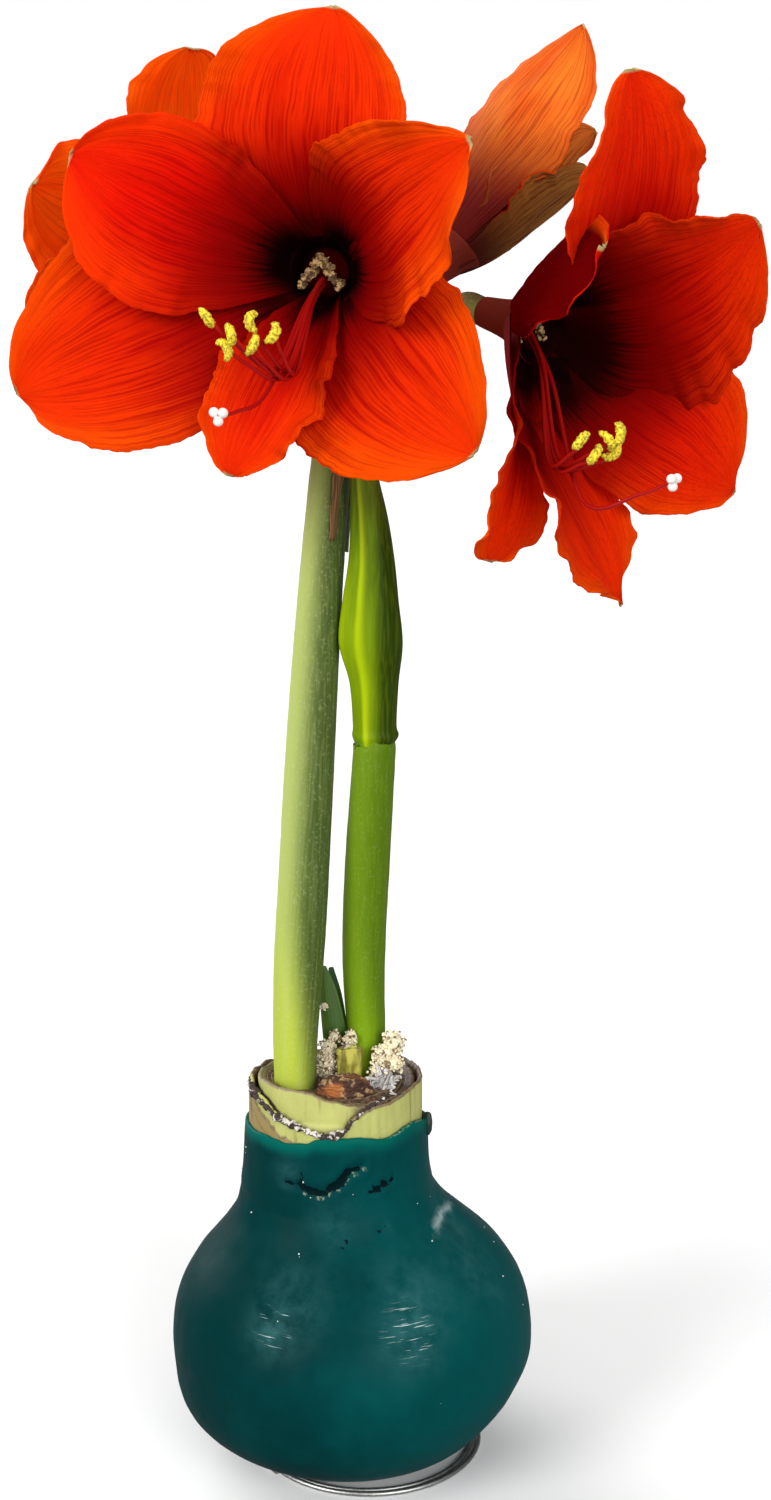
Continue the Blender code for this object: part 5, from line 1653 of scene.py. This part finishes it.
def vein_group():
    """A petal's veins: wandering lines from root to tip, a fine net between them, and its margin."""
    outputs = dict.fromkeys(("Veins", "Net", "Margin", "Along", "Patches", "Streaks"), "Float")
    group, given, sent = new_group("petal veins", {"Net": "Float", "Count": "Float"}, outputs)
    u, t = axes_of(group, sheet_place(group))[:2]
    placed = add_node(group, "ShaderNodeCombineXYZ", {0: u, 1: t, 2: mark_of(group, "which")}).outputs[0]

    def noise_at(scale, detail=3.0):
        return mottle(group, vector_node(group, "MULTIPLY", placed, scale)[0], 1.0, detail)

    def lines_at(count, low, high):
        """Lines along the petal, count of them across it."""
        lines = math_node(group, "PINGPONG", times(group, across, count), 0.5)
        return math_node(group, "SUBTRACT", 1.0, soft_step(group, lines, low, high))

    across = math_node(group, "ADD", u, times(group, noise_at((5.0, 2.6, 7.0), 2.0), 0.06))
    broad = lines_at(given["Count"], 0.02, 0.24)
    thin = lines_at(times(group, given["Count"], 2.7), 0.0, 0.30)
    broken = soft_step(group, noise_at((16.0, 4.0, 7.0)), 0.34, 0.62)
    faint = soft_step(group, noise_at((26.0, 5.0, 5.0)), 0.36, 0.60)
    both = math_node(group, "MAXIMUM", times(group, broad, broken), times(group, thin, faint))
    cells = {"Vector": vector_node(group, "MULTIPLY", placed, (52.0, 26.0, 3.0))[0], "Scale": 1.0}
    cells = add_node(group, "ShaderNodeTexVoronoi", cells, feature="DISTANCE_TO_EDGE").outputs["Distance"]
    net = math_node(group, "SUBTRACT", 1.0, soft_step(group, cells, 0.0, 0.075))
    off_middle = math_node(group, "ABSOLUTE", math_node(group, "SUBTRACT", u, 0.5))
    at_side = soft_step(group, off_middle, 0.20, 0.42)
    outer = math_node(group, "MAXIMUM", at_side, soft_step(group, t, 0.5, 0.85))
    for socket, value in (
        ("Veins", both),
        ("Net", times(group, times(group, net, outer), given["Net"])),
        ("Margin", soft_step(group, off_middle, 0.08, 0.5)),
        ("Along", t),
        ("Patches", noise_at((3.0, 3.0, 3.0))),
        ("Streaks", noise_at((13.0, 1.5, 7.0))),
    ):
        group.links.new(value, sent[socket])
    return group


VEINS = vein_group()


def let_light_through(tree, shader, colour, share):
    """Mixes in the light that the thin petal lets through, which comes out warmer."""
    warmer = mix_colour(tree, 0.45, colour, FACE_GLOW)
    through = add_node(tree, "ShaderNodeBsdfTranslucent", {"Color": warmer})
    mixed = add_node(tree, "ShaderNodeMixShader", {0: share, 1: shader.outputs[0], 2: through.outputs[0]})
    tree.links.new(mixed.outputs[0], tree.nodes["Material Output"].inputs["Surface"])


def face_finish(name, warmth, net, throat):
    """The velvety face of a petal. Throat is how far along it the dark throat, painted shade, reaches."""
    made, tree, shader = new_finish(name, 0.7, Specular_IOR_Level=0.02)
    veins = place_group(tree, VEINS, Net=net, Count=FACE_VEINS)
    along = veins["Along"]
    margin = veins["Margin"]
    spread = math_node(tree, "ADD", mark_of(tree, "glow"), warmth)
    for value, weight in ((veins["Patches"], 0.55), (margin, 0.55), (along, 0.30)):
        spread = math_node(tree, "ADD", spread, times(tree, value, weight))
    colour = mix_colour(tree, soft_step(tree, spread, 0.42, 1.02), FACE_RED, FACE_ORANGE)
    colour = mix_colour(tree, soft_step(tree, spread, 0.98, 1.55), colour, FACE_GLOW)
    streaked = times(tree, soft_step(tree, veins["Streaks"], 0.46, 0.66), 0.5)
    streaked = times(tree, streaked, soft_step(tree, along, 1.0, 0.5))
    colour = mix_colour(tree, streaked, colour, STREAK_RED)
    inner = math_node(tree, "SUBTRACT", 1.0, times(tree, margin, 0.35))
    fade = times(tree, inner, soft_step(tree, along, 1.15, 0.45))
    dark = times(tree, times(tree, veins["Veins"], fade), 0.85)
    colour = mix_colour(tree, dark, colour, VEIN_RED)
    colour = mix_colour(tree, times(tree, veins["Net"], 0.5), colour, VEIN_RED)
    depth = math_node(tree, "ADD", along, times(tree, veins["Veins"], -0.06))
    depth = math_node(tree, "ADD", depth, times(tree, margin, 0.10))
    # Painted shade: the face darkens to deep red and then near black towards the throat.
    near = times(tree, soft_step(tree, depth, throat + 0.52, throat), 0.75)
    colour = mix_colour(tree, near, colour, STREAK_RED)
    colour = mix_colour(tree, soft_step(tree, depth, throat + 0.33, throat - 0.06), colour, THROAT_RED)
    colour = mix_colour(tree, soft_step(tree, depth, throat - 0.01, throat - 0.18), colour, THROAT_BLACK)
    colour = mix_colour(tree, soft_step(tree, along, 0.986, 0.996), colour, PALE_TIP)
    set_colour(tree, shader, colour)
    relief = math_node(tree, "ADD", veins["Veins"], veins["Net"])
    add_relief(tree, shader, times(tree, relief, -1.0), 0.25, 0.0003)
    let_light_through(tree, shader, colour, FACE_LIGHT)
    return made


def back_finish(name, shine, base_reach, base, middle, bright, vein_share):
    """The outside of a petal: darker as far as base_reach, paler than its face, with brown veins.

    Where the mark glow is low, in the shade, the back is dark red.
    """
    made, tree, shader = new_finish(name, 0.6, Specular_IOR_Level=shine)
    veins = place_group(tree, VEINS, Net=0.0, Count=BACK_VEINS)
    along = veins["Along"]
    colour = mix_colour(tree, soft_step(tree, veins["Patches"], 0.3, 0.7), middle, bright)
    in_light = soft_step(tree, mark_of(tree, "glow"), -0.55, -0.25)
    at_base = times(tree, soft_step(tree, along, base_reach, 0.16), in_light)
    colour = mix_colour(tree, at_base, colour, base)
    vein = mix_colour(tree, at_base, BACK_VEIN, BASE_VEIN)
    colour = mix_colour(tree, times(tree, veins["Veins"], vein_share), colour, vein)
    off_edge = soft_step(tree, axes_of(tree, sheet_place(tree))[0], 0.08, 0.26)
    shaded = math_node(tree, "SUBTRACT", off_edge, in_light, clamp=True)
    colour = mix_colour(tree, shaded, colour, SHADED_BACK)
    colour = mix_colour(tree, soft_step(tree, along, 0.03, 0.0), colour, TUBE_FLESH)
    olive = mix_colour(tree, veins["Veins"], OLIVE, OLIVE_VEIN)
    olive = mix_colour(tree, soft_step(tree, along, 0.40, 0.08), olive, OLIVE_BASE)
    colour = mix_colour(tree, mark_of(tree, "olive"), colour, olive)
    set_colour(tree, shader, colour)
    add_relief(tree, shader, veins["Veins"], 0.3, 0.0003)
    through = math_node(tree, "SUBTRACT", BACK_LIGHT, times(tree, shaded, BACK_LIGHT))
    let_light_through(tree, shader, colour, through)
    return made


def make_bloom(name, bloom, face, back, first_seed):
    frame_of = bloom_frame(bloom)
    parts = [fine_tube(frame_of, (face, back))]
    for number, petal in enumerate(bloom["petals"]):
        parts.append(fine_petal(USUAL_PETAL | petal, frame_of, first_seed + number, (face, back)))
    return joined(name, parts)


warm_face = face_finish("petal_face_warm", warmth=0.05, net=0.30, throat=0.29)
# The deep face's throat reaches further: more painted shade inside the right bloom and the opening bud.
deep_face = face_finish("petal_face_deep", warmth=0.10, net=0.75, throat=0.38)
red_back = back_finish(
    "petal_back", shine=0.0, base_reach=0.52, base=(0.40, 0.045, 0.055), middle=(0.97, 0.085, 0.002),
    bright=(1.0, 0.140, 0.003), vein_share=0.35,
)
bud_back = back_finish(
    "bud_back", shine=0.03, base_reach=0.66, base=(0.19, 0.017, 0.014), middle=(0.84, 0.125, 0.011),
    bright=(0.95, 0.245, 0.024), vein_share=0.62,
)
for name, bloom, face, back, seed, node, slot in (
    ("open_bloom_front", FRONT_BLOOM, warm_face, red_back, 10, "front_bloom", "petal"),
    ("open_bloom_right", RIGHT_BLOOM, deep_face, red_back, 20, "right_bloom", "petal"),
    ("open_bloom_left", LEFT_BLOOM, warm_face, red_back, 30, "left_bloom", "petal"),
    ("bloom_still_opening", OPENING_BUD, deep_face, bud_back, 40, "opening_bud", "bud_petal"),
):
    seat(make_bloom(name, bloom, face, back, seed), slot, node)

# Stamens and style
# Six dark red filaments leave each throat, sag and turn up to curled anthers thick with yellow pollen. The
# longer style ends in a white stigma of three lobes, and pale ragged scales arch over them.
FILAMENT_RADIUS = 0.00055
FILAMENT_SIDES = 12
FILAMENT_RING = 0.0010
FILAMENT_ROOT = -0.0100
ANTHER_ARC = 0.0017
ANTHER_THICK = 0.00115
ANTHER_STEPS = 24
STIGMA_LOBE = 0.00125
FILAMENT_DARK = (0.17, 0.0010, 0.0010)
FILAMENT_BRIGHT = (0.46, 0.006, 0.004)
POLLEN_DARK = (0.34, 0.24, 0.01)
POLLEN_YELLOW = (0.90, 0.72, 0.03)
FRINGE_DARK = (0.10, 0.048, 0.014)
FRINGE_LIGHT = (0.42, 0.260, 0.100)
FRINGE_COUNT = 66
FRINGE_REACH = 0.0055
FRINGE_DROP = 0.0068
FRINGE_WANDER = 0.00045
FRONT_BLOOM["fringe_depth"] = -0.0015
RIGHT_BLOOM["fringe_depth"] = -0.0075
LEFT_BLOOM["fringe_depth"] = -0.0015
FRONT_BLOOM["stamens"] = {
    "bow": (0.0045, -0.0250, 0.0290),
    "ends": (
        (-0.0085, -0.0120, 0.0480),
        (-0.0020, -0.0160, 0.0480),
        (0.0020, -0.0185, 0.0440),
        (0.0062, -0.0155, 0.0410),
        (-0.0040, -0.0190, 0.0470),
        (0.0005, -0.0125, 0.0440),
    ),
    "style_bow": (0.0020, -0.0300, 0.0360),
    "style_end": (-0.0021, -0.0350, 0.0550),
}
RIGHT_BLOOM["stamens"] = {
    "bow": (-0.0205, -0.0272, 0.0235),
    "ends": (
        (-0.0330, -0.0166, 0.0400),
        (-0.0290, -0.0200, 0.0420),
        (-0.0240, -0.0140, 0.0450),
        (-0.0225, -0.0200, 0.0430),
        (-0.0255, -0.0165, 0.0430),
        (-0.0200, -0.0170, 0.0420),
    ),
    "style_bow": (-0.0215, -0.0345, 0.0350),
    "style_end": (-0.0200, -0.0225, 0.0600),
}
LEFT_BLOOM["stamens"] = {
    "bow": (0.0000, -0.0230, 0.0280),
    "ends": (
        (-0.0060, -0.0125, 0.0480),
        (0.0000, -0.0150, 0.0460),
        (0.0030, -0.0185, 0.0440),
        (0.0060, -0.0150, 0.0420),
        (-0.0035, -0.0185, 0.0450),
        (0.0030, -0.0120, 0.0440),
    ),
    "style_bow": (0.0000, -0.0280, 0.0340),
    "style_end": (0.0000, -0.0290, 0.0540),
}
FILAMENT_SPREAD = 0.30


def stamen_path(root, bow, end):
    """A filament leaves the throat, sags to its bow, then turns up to its end."""
    points = [root, root.lerp(bow, 0.36) + Vector((0, 0.0022, 0.0020)), bow, bow.lerp(end, 0.62), end]
    points[3] = points[3] + Vector((0, -0.0012, 0.0010))
    return [Vector(point) for point in smooth_run([tuple(point) for point in points], 9)]


def thread(frame_of, path, radius):
    """A filament or style along its path, thinner towards its end."""
    run = []
    for index, point in enumerate(path):
        share = index / (len(path) - 1)
        run.append((*(frame_of @ point), radius * (1.25 - 0.45 * share)))
    return rod("thread", run, FILAMENT_SIDES)


def anther(middle, tilt, open_way, seed):
    """A curled anther: an arc round which the pollen stands in crumbs."""
    side = tilt.cross(open_way).normalized()
    run = []
    for step in range(ANTHER_STEPS + 1):
        share = step / ANTHER_STEPS
        angle = math.radians(-105 + 210 * share)
        place = middle + ANTHER_ARC * (math.cos(angle) * open_way + 1.25 * math.sin(angle) * tilt)
        place -= ANTHER_ARC * open_way - 0.0003 * math.sin(5 * share + seed) * side
        run.append((*place, ANTHER_THICK * max(math.sin(math.pi * (0.06 + 0.88 * share)) ** 0.5, 0.3)))
    made = rod("anther", run, 16)
    push_out(
        made, lambda place: 0.00042 * rough(place, 0.00075, seed) + 0.00015 * rough(place, 0.0003, seed)
    )
    return made


thread_finish, tree, shader = new_finish("red_filament", 0.4, Specular_IOR_Level=0.15)
set_colour(tree, shader, mix_colour(tree, mark_of(tree, "along"), FILAMENT_DARK, FILAMENT_BRIGHT))
pollen_finish, tree, shader = new_finish("yellow_pollen", 0.85)
pollen = mottle(tree, own_place(tree), 1500.0)
set_colour(tree, shader, mix_colour(tree, soft_step(tree, pollen, 0.34, 0.6), POLLEN_DARK, POLLEN_YELLOW))
add_relief(tree, shader, pollen, 0.5, 0.0003)
stigma_finish = flecked_finish("white_stigma", 0.5, 900.0, (0.80, 0.72, 0.66), (0.95, 0.93, 0.90))
fringe_finish, tree, shader = new_finish("pale_fringe", 0.8)
flecks = place_group(tree, CRUMBS, Dark=FRINGE_DARK, Light=FRINGE_LIGHT, Grain=700.0, Share=0.45)
set_colour(tree, shader, flecks["Color"])


def paint(thing, finish):
    thing.data.materials.clear()
    thing.data.materials.append(finish)
    return thing


def make_stamens(name, bloom, seed):
    chance = random.Random(seed)
    frame_of = bloom_frame(bloom)
    turn_of = frame_of.to_3x3()
    parts = []
    stamens = bloom["stamens"]
    middle = sum((Vector(end) for end in stamens["ends"]), Vector()) / len(stamens["ends"])
    for number, end in enumerate(stamens["ends"]):
        turn = 2 * math.pi * number / len(stamens["ends"])
        root = Vector((FILAMENT_RING * math.cos(turn), FILAMENT_RING * math.sin(turn), FILAMENT_ROOT))
        end = Vector(end)
        path = stamen_path(root, Vector(stamens["bow"]) + FILAMENT_SPREAD * (end - middle), end)
        parts.append(paint(thread(frame_of, path, FILAMENT_RADIUS), thread_finish))
        tilt = turn_of @ Vector((chance.uniform(-0.6, 0.6), 1.0, chance.uniform(-0.4, 0.5)))
        open_way = Vector((chance.uniform(-1, 1), chance.uniform(-0.3, 0.3), chance.uniform(0.2, 0.8)))
        open_way = turn_of @ open_way
        tilt.normalize()
        open_way = (open_way - open_way.dot(tilt) * tilt).normalized()
        parts.append(paint(anther(frame_of @ end, tilt, open_way, seed + number), pollen_finish))
    root = Vector((0, 0, FILAMENT_ROOT))
    path = stamen_path(root, Vector(stamens["style_bow"]), Vector(stamens["style_end"]))
    parts.append(paint(thread(frame_of, path, FILAMENT_RADIUS), thread_finish))
    end = path[-1]
    for lobe in range(3):
        turn = 2 * math.pi * lobe / 3 + 0.5
        place = end + 1.1 * STIGMA_LOBE * Vector((math.cos(turn), math.sin(turn), 0.3))
        bpy.ops.object.select_all(action="DESELECT")
        bpy.ops.mesh.primitive_uv_sphere_add(
            segments=16, ring_count=10, radius=STIGMA_LOBE, location=frame_of @ place
        )
        ball = bpy.context.object
        ball.data.shade_smooth()
        parts.append(paint(ball, stigma_finish))
    crumb = round_grain(2)
    for number in range(FRINGE_COUNT):
        share = 2 * number / (FRINGE_COUNT - 1) - 1
        height = 0.0026 - FRINGE_DROP * abs(share) ** 1.3
        place = Vector((FRINGE_REACH * share + 0.0006, height, bloom["fringe_depth"]))
        place += Vector([chance.gauss(0, FRINGE_WANDER) for axis in range(3)])
        size = chance.uniform(0.0004, 0.0008) + 0.0005 * bump(share, 0.4)
        parts.append(paint(copy_grain(crumb, frame_of @ place, size, 1.5, 0.0008), fringe_finish))
    bpy.data.objects.remove(crumb)
    bpy.ops.object.select_all(action="DESELECT")
    for part in parts:
        part.select_set(True)
    bpy.context.view_layer.objects.active = parts[0]
    bpy.ops.object.transform_apply(location=True, rotation=True, scale=True)
    return joined(name, parts)


for name, bloom, seed, node in (
    ("stamens_front", FRONT_BLOOM, 1, "front_stamens"),
    ("stamens_right", RIGHT_BLOOM, 2, "right_stamens"),
    ("stamens_left", LEFT_BLOOM, 3, "left_stamens"),
):
    seat(make_stamens(name, bloom, seed), "stamen", node)
